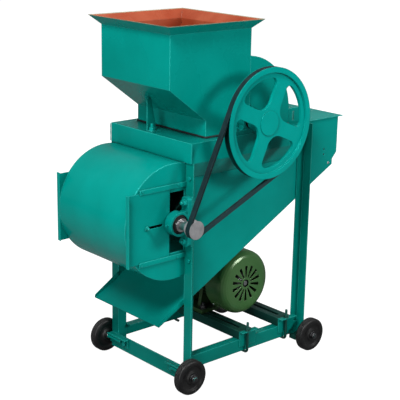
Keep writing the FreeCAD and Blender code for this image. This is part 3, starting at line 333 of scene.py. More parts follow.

# %% [markdown]
# The dust group finds faces that look upwards, where grey dust settles in patches. The corner shade group
# paints shade into corners and gaps: it looks around each point for other surfaces in reach, and darkens
# the colour where they stand close.

# %% Dust and painted corner shade
dust, given, made = new_group("dust", [("Amount", "Float", 0.3)], [("Mask", "Float")])
scene_place = dust.nodes.new("ShaderNodeNewGeometry").outputs["Position"]
upward = ramp(dust, apart(dust, "Normal")["Z"], 0.35, 1.0)
patchy = ramp(dust, noise_at(dust, scene_place, scale=45.0, detail=6.0), 0.3, 0.7)
settling = product(dust, upward, patchy)
dusted = number(dust, "MULTIPLY", settling, given.outputs["Amount"], clamp=True)
wire(dust, (dusted, made.inputs["Mask"]))

# Painted shade: the mask grows where other surfaces stand near, so corners and gaps get a darker colour.
corner_shade, given, made = new_group("painted_corner_shade", [("Reach", "Float", 0.07), ("Amount", "Float", 0.6)],
                               [("Mask", "Float")])
open_sky = corner_shade.nodes.new("ShaderNodeAmbientOcclusion")
open_sky.samples = 6
shut_in = ramp(corner_shade, open_sky.outputs["AO"], 0.95, 0.35)
shade_amount = number(corner_shade, "MULTIPLY", shut_in, given.outputs["Amount"], clamp=True)
wire(corner_shade, (given.outputs["Reach"], open_sky.inputs["Distance"]), (shade_amount, made.inputs["Mask"]))
print("groups", [g.name for g in bpy.data.node_groups])

# %% [markdown]
# The enamel is one coat of teal over sheet, angle iron and castings. They differ mostly in how much of
# the metal under the paint shows, so one function makes them all: it mixes the clouded teal with a tint
# on edges, which is painted highlight where pale and painted shade where dark, dust on top faces and
# painted shade in corners, and bends the normal.

# %% Enamel
def group_in(tree, group, **values):
    """Places a shared group in a material and sets its values."""
    node = tree.nodes.new("ShaderNodeGroup")
    node.node_tree = group
    fill(node, **values)
    return node


def add_relief(tree, shader, height, edges, strength, distance):
    """Bends the shader's normal by a height, on top of the soft edges."""
    relief = tree.nodes.new("ShaderNodeBump")
    fill(relief, Strength=strength, Distance=distance)
    wire(tree, (height, relief.inputs["Height"]), (edges.outputs["Normal"], relief.inputs["Normal"]),
         (relief.outputs[0], shader.inputs["Normal"]))


painted_edge_cover, dust_tint = 0.7, (0.16, 0.42, 0.38, 1)
shade_reach, shade_tone = 0.12, 0.35
relief_depth, dust_dulls, cloud_dulls = 0.004, 0.5, 0.06


def enamel(slot, name, deep, light, painted_edge_tone, roughness, waves, grain, bump, dusty=0.02,
           edge_radius=0.002, gloss=0.42, sheen_tint=(0.05, 1.0, 0.94), corner_shading=0.65):
    """Clouded enamel with painted edge tints and painted corner shade. Returns its tree, shader and colour
    socket.
    """
    tree, shader = new_finish(slot, name)
    tone = group_in(tree, paint_tone, Deep=(*deep, 1), Light=(*light, 1), Cloud_size=6.0)
    edges = group_in(tree, soft_edges, Radius=edge_radius)
    surface = group_in(tree, sheet_surface, Waves=waves, Grain=grain)
    settled = group_in(tree, dust, Amount=dusty).outputs["Mask"]
    corners = group_in(tree, corner_shade, Reach=shade_reach, Amount=corner_shading).outputs["Mask"]
    painted_edge_mask = product(tree, edges.outputs["Edge"], painted_edge_cover)
    # Painted highlight on edges where the tint is pale, painted shade where it is dark.
    with_painted_edges = mix(tree, painted_edge_mask, tone.outputs["Color"], (*painted_edge_tone, 1))
    dusted = mix(tree, settled, with_painted_edges, dust_tint)
    # Painted shade: corners and gaps are mixed towards a deeper teal.
    coat = mix(tree, corners, dusted, tuple(shade_tone * part for part in deep) + (1,))
    wire(tree, (coat, shader.inputs["Base Color"]))
    add_relief(tree, shader, surface.outputs["Height"], edges, bump, relief_depth)
    dull = product(tree, settled, dust_dulls)
    uneven = product(tree, tone.outputs["Cloud"], cloud_dulls)
    rough = number(tree, "ADD", number(tree, "ADD", dull, uneven), roughness)
    wire(tree, (rough, shader.inputs["Roughness"]))
    fill(shader, Specular_IOR_Level=gloss, Specular_Tint=(*sheen_tint, 1))
    return tree, shader, coat


print("enamel ready")

# %% [markdown]
# Sheet is smooth and glossy with a pale edge tint as painted highlight, angle iron is duller and
# grainier, castings are the roughest, and the motor has a green of its own, with a darker copy on its
# body as painted shade.

# %% Enamels of the machine
# The pale edge tint is a painted highlight on rounded edges.
teal_edge_highlight, motor_sheen = (0.06, 0.62, 0.56), (0.8, 1.0, 0.7)
enamel("teal_paint", "teal_sheet", (0.0, 0.235, 0.198), (0.0, 0.29, 0.248), teal_edge_highlight,
       roughness=0.2, waves=0.9, grain=0.6, bump=0.3, edge_radius=0.003)
enamel("shutter_paint", "teal_shutter", (0.0, 0.225, 0.19), (0.0, 0.285, 0.245), (0.03, 0.45, 0.4),
       roughness=0.3, waves=0.8, grain=1.0, bump=0.3)
enamel("teal_frame_paint", "teal_angle_iron", (0.0, 0.152, 0.122), (0.0, 0.2, 0.163), teal_edge_highlight,
       roughness=0.33, waves=0.5, grain=6.0, bump=0.4, corner_shading=0.2)
enamel("teal_casting", "teal_casting", (0.0, 0.225, 0.192), (0.0, 0.285, 0.25), (0.05, 0.58, 0.52),
       roughness=0.34, waves=0.3, grain=40.0, bump=0.35)
enamel("dark_paint", "dark_rail_paint", (0.002, 0.025, 0.02), (0.006, 0.05, 0.04), (0.04, 0.2, 0.16),
       roughness=0.36, waves=0.4, grain=8.0, bump=0.4, sheen_tint=(0.4, 1.0, 0.85))
enamel("motor_green", "motor_enamel", (0.05, 0.14, 0.041), (0.075, 0.197, 0.06), (0.28, 0.46, 0.22),
       roughness=0.2, waves=0.2, grain=14.0, bump=0.4, gloss=0.7, sheen_tint=motor_sheen)
# The motor's body takes a darker copy of the motor green, as painted shade.
enamel("motor_shade", "motor_enamel_painted_shade", (0.02, 0.058, 0.017), (0.036, 0.09, 0.028), (0.12, 0.22, 0.1),
       roughness=0.34, waves=0.2, grain=14.0, bump=0.4, gloss=0.4, sheen_tint=motor_sheen)
print("enamels", list(finishes))

# %% [markdown]
# The big pulley has a lighter copy of the enamel, as painted light on its face, and a dark edge tint
# as painted shade round its windows. No paint lasts in its groove: the belt leaves black rubber dust
# there, and the black is also painted shade for the groove's hollow. The material tells the groove by its
# distance from the shaft, which never changes as the pulley turns, and by how far it lies behind the
# front face.

# %% Pulley paint
# A lighter teal than the castings: painted light. The dark edge tint: painted shade.
tree, shader, pulley_coat = enamel(
    "pulley_paint", "teal_pulley", (0.0, 0.27, 0.235), (0.0, 0.335, 0.295), (0.0, 0.2, 0.17),
    roughness=0.2, waves=0.3, grain=30.0, bump=0.3, edge_radius=0.003)
pulley_low, pulley_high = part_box("big_pulley")
rim_radius = (pulley_high[0] - pulley_low[0]) / 2
groove_depth, groove_near, groove_far = 0.011, 0.0015, 0.0185
rim_blur, wall_blur, dust_and_shade_cover = 0.0005, 0.0003, 0.9
at = apart(tree, "Position")
squares = []
for axis, letter in ((0, "X"), (2, "Z")):
    off = number(tree, "SUBTRACT", at[letter], (pulley_low[axis] + pulley_high[axis]) / 2)
    squares.append(product(tree, off, off))
radius = number(tree, "SQRT", number(tree, "ADD", *squares))
near_wall, far_wall = pulley_low[1] + groove_near, pulley_low[1] + groove_far
outside = ramp(tree, radius, rim_radius - groove_depth - rim_blur, rim_radius - groove_depth)
behind = ramp(tree, at["Y"], near_wall - wall_blur, near_wall + wall_blur)
before = ramp(tree, at["Y"], far_wall + wall_blur, far_wall - wall_blur)
# The groove's black is rubber dust and painted shade together.
rubbed_and_shaded = product(tree, outside, behind, before, dust_and_shade_cover)
blackened = mix(tree, rubbed_and_shaded, pulley_coat, (0.003, 0.012, 0.011, 1))
wire(tree, (blackened, shader.inputs["Base Color"]))
print("groove from radius", round(rim_radius - groove_depth, 4))

# %% [markdown]
# The spout's lower end lies in shade, and its material paints that shade in: it deepens the teal towards
# the tip, by the height above it. Its dark edge tint is painted shade too.

# %% Spout paint
tree, shader, spout_coat = enamel(
    "spout_paint", "teal_spout", (0.0, 0.285, 0.237), (0.0, 0.35, 0.297), (0.0, 0.2, 0.17),
    roughness=0.42, waves=0.8, grain=1.0, bump=0.3, gloss=0.3, corner_shading=0.12)
spout_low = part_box("sloping_floor")[0]
shade_from, shade_to, coat_at_tip = 0.004, 0.085, 0.3
height = ramp(tree, apart(tree, "Position")["Z"], spout_low[2] + shade_from, spout_low[2] + shade_to)
lit_share = number(tree, "MULTIPLY_ADD", height, 1 - coat_at_tip, coat_at_tip)
# Painted shade: the teal deepens towards the tip.
tip_shaded_coat = mix(tree, lit_share, (0.0, 0.09, 0.075, 1), spout_coat)
wire(tree, (tip_shaded_coat, shader.inputs["Base Color"]))
print("spout coat deepens below", round(spout_low[2] + shade_to, 3))

# %% [markdown]
# The inside of the hopper still shows its orange-red primer. Painting it could take a second mesh, but
# the sheet is only two millimetres thick, so the hopper's own material decides by place: what lies
# between the inner faces, or looks upwards on the flared lip, is primer. The rim's cut edge is rubbed to
# the bare metal.

# %% Hopper paint
tree, shader, outside_colour = enamel(
    "hopper_paint", "hopper_paint", (0.0, 0.215, 0.18), (0.0, 0.265, 0.225), teal_edge_highlight,
    roughness=0.24, waves=0.9, grain=1.0, bump=0.35, dusty=0.0, edge_radius=0.003, corner_shading=0.05)
inner_front, inner_rear, inner_side, throat_height = -0.262, 0.023, 0.145, 0.846
rim_from, rim_to, upward_tilt = 1.0100, 1.0112, 0.15
at = apart(tree, "Position")
within = product(tree, number(tree, "GREATER_THAN", at["X"], inner_front),
                 number(tree, "LESS_THAN", at["X"], inner_rear),
                 number(tree, "LESS_THAN", number(tree, "ABSOLUTE", at["Y"]), inner_side),
                 number(tree, "GREATER_THAN", at["Z"], throat_height))
looks_up = number(tree, "GREATER_THAN", apart(tree, "Normal")["Z"], upward_tilt)
primed = number(tree, "MAXIMUM", within, looks_up)
primer = group_in(tree, paint_tone, Deep=(0.32, 0.046, 0.016, 1), Light=(0.42, 0.095, 0.043, 1),
                  Cloud_size=9.0)
painted = mix(tree, primed, outside_colour, primer.outputs["Color"])
rim_top = ramp(tree, at["Z"], rim_from, rim_to)
rubbed_rim = mix(tree, rim_top, painted, (0.42, 0.36, 0.24, 1))
wire(tree, (rubbed_rim, shader.inputs["Base Color"]))
print("hopper paint nodes", len(tree.nodes))

# %% [markdown]
# Bare metal comes next. Drawn steel shows fine scratches, zinc-plated bolts are mottled, oiled bolts are
# dark, and grey iron is dull and pitted. The marks are one noise, squeezed by its own scale on each axis.

# %% Metals
def worked_metal(slot, name, dark, light, roughness, marks, depth, metallic=1.0):
    """Metal with fine marks, whose number per metre is given along each axis."""
    tree, shader = new_finish(slot, name)
    tone = group_in(tree, paint_tone, Deep=(*dark, 1), Light=(*light, 1), Cloud_size=60.0)
    edges = group_in(tree, soft_edges, Radius=0.0008)
    spread = tree.nodes.new("ShaderNodeMapping")
    fill(spread, Scale=marks)
    scratches = noise_at(tree, spread.outputs[0], scale=1.0, detail=3.0)
    wire(tree, (own_place(tree), spread.inputs["Vector"]),
         (tone.outputs["Color"], shader.inputs["Base Color"]))
    add_relief(tree, shader, scratches, edges, depth, 0.0006)
    vary = product(tree, scratches, 0.16)
    wire(tree, (number(tree, "ADD", vary, roughness), shader.inputs["Roughness"]))
    fill(shader, Metallic=metallic)


worked_metal("steel", "drawn_steel", (0.33, 0.33, 0.34), (0.55, 0.55, 0.56), roughness=0.24,
             marks=(900, 60, 900), depth=0.3)
worked_metal("zinc", "zinc_plate", (0.42, 0.43, 0.44), (0.68, 0.69, 0.7), roughness=0.22,
             marks=(400, 400, 400), depth=0.25)
worked_metal("dull_steel", "oiled_steel", (0.05, 0.05, 0.055), (0.13, 0.13, 0.135), roughness=0.32,
             marks=(400, 400, 400), depth=0.25)
worked_metal("cast", "turned_iron", (0.24, 0.24, 0.25), (0.34, 0.34, 0.35), roughness=0.45,
             marks=(500, 900, 500), depth=0.5, metallic=0.5)
print("metals", list(finishes)[-4:])

# %% [markdown]
# Rubber and moulded plastic are nearly black, mottled, with a fine grain, grey on worn edges and with a
# bloom of dust. The belts' fabric mirrors a little of the teal beside it.

# %% Rubbers
worn_rubber, rubber_dust = (0.05, 0.05, 0.05, 1), (0.07, 0.07, 0.065, 1)


def dull_rubber(slot, name, dark, light, roughness, grain, depth, sheen_tint=(1.0, 1.0, 1.0)):
    """Rubber or moulded plastic with a grain of the given fineness."""
    tree, shader = new_finish(slot, name)
    tone = group_in(tree, paint_tone, Deep=(*dark, 1), Light=(*light, 1), Cloud_size=35.0)
    edges = group_in(tree, soft_edges, Radius=0.0012)
    settled = group_in(tree, dust, Amount=0.2).outputs["Mask"]
    worn = mix(tree, edges.outputs["Edge"], tone.outputs["Color"], worn_rubber)
    wire(tree, (mix(tree, settled, worn, rubber_dust), shader.inputs["Base Color"]))
    add_relief(tree, shader, noise_at(tree, own_place(tree), scale=grain, detail=3.0), edges, depth, 0.0008)
    vary = product(tree, tone.outputs["Cloud"], 0.12)
    wire(tree, (number(tree, "ADD", vary, roughness), shader.inputs["Roughness"]))
    fill(shader, Specular_IOR_Level=0.3, Specular_Tint=(*sheen_tint, 1))


dull_rubber("rubber_seal", "seal_rubber", (0.006, 0.006, 0.007), (0.014, 0.014, 0.015),
            roughness=0.5, grain=700, depth=0.3)
dull_rubber("belt_rubber", "belt_fabric", (0.003, 0.010, 0.012), (0.008, 0.019, 0.023),
            roughness=0.55, grain=1500, depth=0.6, sheen_tint=(0.45, 0.95, 1.0))
dull_rubber("wheel_plastic", "wheel_moulding", (0.0045, 0.0045, 0.005), (0.01, 0.01, 0.01),
            roughness=0.36, grain=500, depth=0.3)
dull_rubber("black_plastic", "black_moulding", (0.01, 0.01, 0.011), (0.022, 0.022, 0.024),
            roughness=0.4, grain=600, depth=0.2)
print("finishes", sorted(finishes))

# %% [markdown]
# Every solid part takes the finish that its record names, and a few have one of their own.

# %% Dress the solid parts
slot_of = {row["node"]: row["material_slot"] for row in frame["record"]["subparts"]}
own_finish = {"hopper": "hopper_paint", "big_pulley": "pulley_paint", "sloping_floor": "spout_paint",
              "motor_body": "motor_shade"}
for name, thing in nodes.items():
    finish = finishes[own_finish.get(name, slot_of[name])]
    if not thing.material_slots:
        thing.data.materials.append(finish)
    for place in thing.material_slots:
        place.material = finish
print("dressed", len(nodes), "parts")

# %% [markdown]
# Now the small things that a maker would check. The solid nuts are plain prisms, but a real nut has
# rounded corners, a thread that stands out of it and a washer with a stamped edge. A bump map could hint
# at this, but the eye catches the highlight on a real chamfer, so each is a mesh. Almost all of them are
# rings of points, stacked along an axis and joined by a skin.

# %% Rings and skins
def skin(rings, place=Matrix(), ends="both"):
    """Points, faces and place of a surface through rings. Its ends are closed: both, top or none."""
    count = len(rings[0])
    points = [p for ring in rings for p in ring]
    faces = []
    for level in range(len(rings) - 1):
        for k in range(count):
            a, b = level * count + k, level * count + (k + 1) % count
            faces.append((a, b, b + count, a + count))
    if ends == "both":
        faces.append(tuple(reversed(range(count))))
    if ends in ("both", "top"):
        faces.append(tuple(range(len(points) - count, len(points))))
    return points, faces, place


def turned(r, angle, z):
    """The point at a radius, an angle and a height."""
    return Vector((r * math.cos(angle), r * math.sin(angle), z))


def turned_rings(profile, count=32):
    """Rings for a body turned about Z, from (radius, height) pairs."""
    return [[turned(r, 2 * math.pi * k / count, z) for k in range(count)] for r, z in profile]


def hex_rings(flat, low, high, hole):
    """Rings of a nut or bolt head: a hexagon whose corners are cut by a cone at both ends."""
    rings, uncut, count = [], 9.0, 48
    for z, limit in ((low, flat * 1.02), (low + flat * 0.12, uncut), (high - flat * 0.16, uncut),
                     (high, flat * 0.98), (high, hole)):
        ring = []
        for k in range(count):
            angle = 2 * math.pi * k / count
            from_flat = (angle + math.pi / 6) % (math.pi / 3) - math.pi / 6
            ring.append(turned(min(flat / math.cos(from_flat), limit), angle, z))
        rings.append(ring)
    return rings


print("rings ready")

# %% [markdown]
# Pieces that belong together, such as all the bolts of one kind, become one mesh. It gets its finish and
# the body that it rides on.


def keep_piece(name, parts, finish, body, smooth_angle=35):
    """Makes one object of several (points, faces, place), gives it its finish and hangs it on its body."""
    points, faces = [], []
    for part_points, part_faces, place in parts:
        start = len(points)
        points += [place @ Vector(p) for p in part_points]
        faces += [tuple(start + i for i in face) for face in part_faces]
    mesh = bpy.data.meshes.new("piece")
    mesh.from_pydata(points, [], faces)
    mesh.update()
    mesh.validate()
    thing = bpy.data.objects.new(name, mesh)
    scene.collection.objects.link(thing)
    mesh.materials.append(finishes[finish])
    mesh.shade_smooth()
    mesh.set_sharp_from_angle(angle=math.radians(smooth_angle))
    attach(thing, body)
    return thing


# %% [markdown]
# Each bolt is built again where its own solid stands. The solids of a node are split into loose islands,
# sorted by their corners, so that every run takes them in the same order.

# %% Places of the bolts
def islands(node):
    """Lowest and highest corner of every loose solid in a node, in a fixed order."""
    solid = bmesh.new()
    solid.from_mesh(nodes[node].data)
    bmesh.ops.remove_doubles(solid, verts=solid.verts, dist=1e-6)
    left = set(solid.verts)
    boxes = []
    while left:
        front = [left.pop()]
        group = list(front)
        while front:
            here = front.pop()
            for edge in here.link_edges:
                other = edge.other_vert(here)
                if other in left:
                    left.remove(other)
                    front.append(other)
                    group.append(other)
        boxes.append([Vector([end(v.co[i] for v in group) for i in range(3)]) for end in (min, max)])
    solid.free()
    return sorted(boxes, key=lambda box: [round(v, 4) for corner in box for v in corner])


def stand_at(point, direction, spin=0.0):
    """A matrix that stands a piece built along Z at a point, along a direction."""
    turn = Vector(direction).to_track_quat("Z", "Y").to_matrix().to_4x4()
    return Matrix.Translation(Vector(point)) @ turn @ Matrix.Rotation(spin, 4, "Z")


def tip_and_axis(low, high, axis, outward):
    """The end of a bolt on its own axis, and its direction."""
    tip = (low + high) / 2
    tip[axis] = high[axis] if outward > 0 else low[axis]
    direction = Vector((0, 0, 0))
    direction[axis] = outward
    return tip, direction


print("block bolts", len(islands("block_bolts")))

# %% [markdown]
# A thread is a ridge that climbs by one pitch each turn. Only the radius of its points changes with angle
# and height, so a thread is a stack of rings like everything else.

# %% Threads
def thread_rings(radius, low, high, pitch, count=24, tip=0.22):
    """Rings of a threaded end with a small cone at its tip."""
    steps_per_turn, ridge_depth, cone_length = 6, 0.54 * pitch, 0.35 * radius
    steps = max(4, int((high - low) / pitch * steps_per_turn))
    rings = []
    for level in range(steps + 1):
        z = low + (high - low) * level / steps
        shrink = max(0.0, 1 - (high - z) / cone_length) * tip * radius
        ring = []
        for k in range(count):
            wave = abs(((z / pitch - k / count) % 1.0) * 2 - 1)
            r = radius - ridge_depth * (1 - wave) - shrink
            ring.append(turned(r, 2 * math.pi * k / count, z))
        rings.append(ring)
    return rings


print("threads ready")

# %% [markdown]
# The sizes of a bolt follow from its radius: the nut is 3.4 radii across its flats and the washer 4.2
# across. Each bolt is turned by chance, because no fitter lines them up.

# %% Nuts and bolts
flat_share, head_share = 1.7, 1.4


def nut_and_bolt(seat, direction, r, out, grip, spin):
    """Washer, nut and threaded end on a seat, with the bolt's head behind what it holds."""
    flat, washer_top, nut_top, pitch = flat_share * r, 0.3 * r, 1.9 * r, 0.16 * r + 0.0007
    place = stand_at(seat, direction, spin)
    behind = stand_at(Vector(seat) - Vector(direction) * grip, -Vector(direction), spin)
    washer = [(r, 0), (2.05 * r, 0), (2.1 * r, 0.08 * r), (2.1 * r, 0.22 * r), (2.02 * r, washer_top),
              (r, washer_top)]
    return [skin(turned_rings(washer), place, "none"),
            skin(hex_rings(flat, washer_top, nut_top, r), place, "none"),
            skin(thread_rings(r * 0.99, washer_top, out, pitch), place),
            skin(turned_rings([(r * 0.96, -grip), (r * 0.96, washer_top)], 24), place),
            skin(hex_rings(flat, 0, head_share * r, 0.2 * r), behind)]


def headed_screw(tip, direction, r, under, spin):
    """A hexagon head that ends at a tip, and its shank under it."""
    place = stand_at(tip - direction * head_share * r, direction, spin)
    return [skin(hex_rings(flat_share * r, 0, head_share * r, 0.25 * r), place),
            skin(turned_rings([(r * 0.95, -under), (r * 0.95, 0.1 * r)], 24), place)]


def redo_bolts(node, r, out, finish, grip=None):
    """Builds every bolt of a node again. The longest side of its box is its axis."""
    parts = []
    for low, high in islands(node):
        size = high - low
        axis = max(range(3), key=lambda i: size[i])
        outward = {0: -1, 1: 1 if low.y + high.y > 0 else -1, 2: 1}[axis]
        tip, direction = tip_and_axis(low, high, axis, outward)
        spin = random.uniform(0, math.pi)
        if grip:
            parts += nut_and_bolt(tip - direction * out, direction, r, out, grip[axis], spin)
        else:
            parts += headed_screw(tip, direction, r, out, spin)
    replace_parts(keep_piece(node + "_detailed", parts, finish, "stand"), node)


random.seed(5)
redo_bolts("block_bolts", 0.005, 0.015, "teal_casting", grip=(0.0195, 0.0195, 0.015))
redo_bolts("motor_foot_bolts", 0.005, 0.018, "dull_steel", grip=(0.014,) * 3)
redo_bolts("shutter_lock_bolts", 0.003, 0.012, "teal_frame_paint", grip=(0.0046,) * 3)
redo_bolts("guide_screws", 0.0016, 0.008, "teal_casting")

# %% [markdown]
# The bolts of the frame come in more than one size, so the width of each solid over its corners gives
# the bolt's radius. They all point to the front.

# %% Frame bolts
corner_width = 3.926
frame_parts = []
for low, high in islands("frame_bolts"):
    size = high - low
    r = max(size.y, size.z) / corner_width
    tip, direction = tip_and_axis(low, high, 0, -1)
    frame_parts += headed_screw(tip, direction, r, size.x - head_share * r, random.uniform(0, 3))
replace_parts(keep_piece("frame_bolts_detailed", frame_parts, "teal_casting", "stand"), "frame_bolts")
print("frame bolts", len(frame_parts) // 2)

# %% [markdown]
# Bent rods and weld beads are both a round section carried along a path. A bevelled curve could do it,
# but a bead also has ripples, one for each dab of the welding rod. So the section is swept in code: it is
# turned with the path at every point, and for a bead its radius swells and shrinks.

# %% Sweeping along a path
def sweep(path, radius_at, count=10):
    """Rings of a round section along a path. The radius follows from the distance run."""
    points = [Vector(p) for p in path]
    rings, run, side = [], 0.0, None
    for k, here in enumerate(points):
        along = (points[min(k + 1, len(points) - 1)] - points[max(k - 1, 0)]).normalized()
        if side is None:
            side = along.orthogonal().normalized()
        side = (side - along * side.dot(along)).normalized()
        other = along.cross(side)
        if k:
            run += (here - points[k - 1]).length
        r = radius_at(run)
        rings.append([here + side * (r * math.cos(2 * math.pi * j / count)) +
                      other * (r * math.sin(2 * math.pi * j / count)) for j in range(count)])
    return rings


def fine_path(corners, step):
    """The same path with points no further apart than a step."""
    path = []
    for a, b in zip(corners, corners[1:]):
        pieces = max(1, int(math.ceil((b - a).length / step)))
        path += [a.lerp(b, k / pieces) for k in range(pieces)]
    return path + corners[-1:]


rotor_axis_x = 11


def mm(x, y, z):
    """A place in millimetres from the rotor's axis plane, as metres in the scene."""
    return Vector(((x + rotor_axis_x) / 1000, y / 1000, z / 1000))


print("rotor axis at x", mm(0, 0, 0).x)

# %% [markdown]
# Four hook bolts clamp the motor rails to the stand. Each is a rod bent under the rail, with a washer, a
# nut and a thread at its top. The axles end in the same way, so one helper does both.

# %% Hook bolts of the motor rails
def nut_on_washer(place, hole, rim, seat, flat, top, nut_hole=None, count=32):
    """A washer up to a seat, and a nut from there to its top."""
    soft, rise = 0.0003, 0.0004
    washer = [(hole, 0), (rim - soft, 0), (rim, rise), (rim, seat - rise), (rim - soft, seat), (hole, seat)]
    return [skin(turned_rings(washer, count), place, "none"),
            skin(hex_rings(flat, seat, top, nut_hole or hole), place, "none")]


rod_r, bend, shank_side = 0.004, 0.009, 0.165
seat_below_tip, shank_below_tip = 0.026, 0.035
hooks = []
for low, high in islands("rail_hook_bolts"):
    away = 1 if low.y > 0 else -1
    toe = low.y if away > 0 else high.y
    middle_x, shank_y, bottom = (low.x + high.x) / 2, shank_side * away, low.z + rod_r
    path = [(middle_x, toe, bottom), (middle_x, shank_y - away * bend, bottom)]
    for k in range(1, 7):
        a = math.pi / 2 * k / 6
        path.append((middle_x, shank_y - away * bend * (1 - math.sin(a)), bottom + bend * (1 - math.cos(a))))
    path.append((middle_x, shank_y, high.z - shank_below_tip))
    hooks.append(skin(sweep(path, lambda run: rod_r, 14)))
    place = stand_at((middle_x, shank_y, high.z - seat_below_tip), (0, 0, 1), random.uniform(0, 3))
    hooks += nut_on_washer(place, rod_r, 0.0082, 0.0015, 0.0065, 0.0085)
    hooks.append(skin(thread_rings(rod_r * 0.99, -0.010, seat_below_tip, 0.00125), place))
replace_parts(keep_piece("rail_hooks_detailed", hooks, "dark_paint", "stand"), "rail_hook_bolts")
print("hook bolts", len(hooks) // 4)

# %% [markdown]
# The stand and the housings are welded. A bead sits in the corner between two sheets, so its middle line
# runs just outside the corner and half of it is buried in the metal. The straight ones are listed once
# and mirrored, and two follow the rounds of housing and cover.

# %% Weld beads
def bead(corners, r):
    """A rippled bead along a path."""
    start = random.uniform(0, 6)
    return skin(sweep(fine_path(corners, 0.0016), lambda run: r * (
        1 + 0.16 * math.sin(run / r * 2.6 + start) + 0.07 * math.sin(run * 310 + start)), 8))


def round_path(x, z, r, y, start, turn, count):
    """Points on a round housing, in millimetres and degrees."""
    angles = [math.radians(start + turn * k / count) for k in range(count + 1)]
    return [mm(x + r * math.cos(a), y, z + r * math.sin(a)) for a in angles]


straight_beads = [((-217.3, 151, 63.3), (-217.3, 174, 63.3), 0.0019),
                  ((-213.6, 156.3, 53), (-213.6, 156.3, 86), 0.0017),
                  ((235.6, 156.3, 53), (235.6, 156.3, 86), 0.0017),
                  ((-217.4, 147.6, 251), (-217.4, 147.6, 262), 0.0016),
                  ((170.6, 145.5, 704), (170.6, 145.5, 746), 0.0016),
                  ((-221.2, 177.0, 650), (-221.2, 177.0, 700), 0.0013)]
leg_front = mm(-218, 0, 0).x
welds = []
for side in (-1, 1):
    for start, end, r in straight_beads:
        welds.append(bead([mm(x, side * y, z) for x, y, z in (start, end)], r))
    arc = round_path(-259, 491, 159.4, side * 146.6, start=68, turn=224, count=90)
    welds.append(bead([p for p in arc if p.x < leg_front], 0.0012))
    crown = round_path(0, 741.5, 169.4, side * 144.6, start=0, turn=85.2, count=60)
    welds.append(bead([mm(169.6, side * 144.6, 708)] + crown, 0.0011))
for stay_side in (15.8, 19.2):
    welds.append(bead([mm(-206, stay_side, 704), mm(-188, stay_side, 704)], 0.0015))
keep_piece("weld_beads", welds, "teal_casting", "stand", 80)
print("beads", len(welds))

# %% [markdown]
# The seal between casing and rotor cover is a rubber trim pushed over the edge of the sheet. Its round
# lip shows as a black line all the way round, and only the two bearing blocks interrupt it.

# %% Lip of the seal
def round_corners(corners, radius, steps=6):
    """The same path with each inner corner cut by a small curve."""
    corners = [Vector(corner) for corner in corners]
    path = corners[:1]
    for before, here, after in zip(corners, corners[1:], corners[2:]):
        start = here + (before - here).normalized() * radius
        end = here + (after - here).normalized() * radius
        for k in range(steps + 1):
            t = k / steps
            path.append(start.lerp(here, t).lerp(here.lerp(end, t), t))
    return path + corners[-1:]


seal_low, seal_high = (Vector(v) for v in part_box("cover_seal"))
block_low, block_high = (Vector(v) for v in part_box("rotor_blocks"))
lip_r, lip_gap, lip_proud, lip_end = 0.0026, 0.003, 0.0006, 0.003
lip_z = seal_low.z + lip_r
lip_y = seal_high.y + lip_proud
front_x, rear_x = seal_low.x - lip_proud, seal_high.x - lip_end
before_block, after_block = block_low.x - lip_gap, block_high.x + lip_gap
lips = []
for corners in ([(before_block, lip_y), (front_x, lip_y), (front_x, -lip_y), (before_block, -lip_y)],
                [(after_block, lip_y), (rear_x, lip_y)],
                [(after_block, -lip_y), (rear_x, -lip_y)]):
    path = round_corners([(x, y, lip_z) for x, y in corners], 0.006)
    lips.append(skin(sweep(path, lambda run: lip_r, 12)))
keep_piece("seal_lip", lips, "rubber_seal", "stand", 60)
print("seal lip at height", round(lip_z, 4))

# %% [markdown]
# Each pillow block holds an insert bearing. Its inner ring sticks out of the casting, is clamped on the
# shaft by two small set screws and turns with it, and a black seal closes the gap around it.

# %% Bearing inserts
seal_profile = [(0.0186, -0.0062), (0.0262, -0.0062), (0.0266, -0.0052), (0.0250, -0.0040),
                (0.0205, -0.0036), (0.0186, -0.0044)]
ring_profile = [(0.0128, 0.0062), (0.0176, 0.0062), (0.0184, 0.0056), (0.0184, -0.0050), (0.0178, -0.0056)]
set_screw_profile = [(0.0, 0.0003), (0.0011, 0.0003), (0.0022, 0.0009), (0.0026, 0.0006), (0.0026, -0.001)]
ring_out, set_screw_out = 1.5, 0.0182


def bearing(name, x, z, face, away, body):
    """Seal and inner ring in one block. The face is the casting's outer plane."""
    place = stand_at(mm(x, face * away, z), (0, away, 0))
    seal = turned_rings(seal_profile, 48)
    keep_piece(name + "_seal", [skin(seal + seal[:1], place, "none")], "rubber_seal", "stand")
    parts = [skin(turned_rings(ring_profile, 48), place, "none")]
    for angle in (0.7, 2.8):
        out = Vector((math.cos(angle), 0, math.sin(angle)))
        at_ring = mm(x, face * away + away * ring_out, z) + out * set_screw_out
        parts.append(skin(turned_rings(set_screw_profile, 12), stand_at(at_ring, out), "none"))
    keep_piece(name + "_ring", parts, "steel", body)


for away, side in ((-1, "near"), (1, "far")):
    bearing("blower_bearing_" + side, -259, 491, 179, away, "blower_wheel")
    bearing("rotor_bearing_" + side, 0, 741.5, 173.5, away, "rotor")

# %% [markdown]
# Round-headed screws hold the motor's lid and fan cover, and one shows on the side of the chute. Their
# heads are low domes, and lowering the points that lie inside a cross presses the slot into them.

# %% Round-headed screws
def dome_rings(r, rise):
    """Rings of a low dome with a cross pressed into it."""
    slot_half, slot_reach, slot_depth, buried = 0.14 * r, 0.6, 0.45 * rise, -0.0008
    rings = []
    for share in (1.0, 0.96, 0.86, 0.72, 0.58, 0.46, 0.34, 0.22, 0.1):
        ring = []
        for k in range(32):
            point = turned(share * r, 2 * math.pi * k / 32, rise * math.sqrt(1 - share ** 2) + 0.0002)
            if share < slot_reach and min(abs(point.x), abs(point.y)) < slot_half:
                point.z -= slot_depth
            ring.append(point)
        rings.append(ring)
    return [[Vector((v.x, v.y, buried)) for v in rings[0]]] + rings


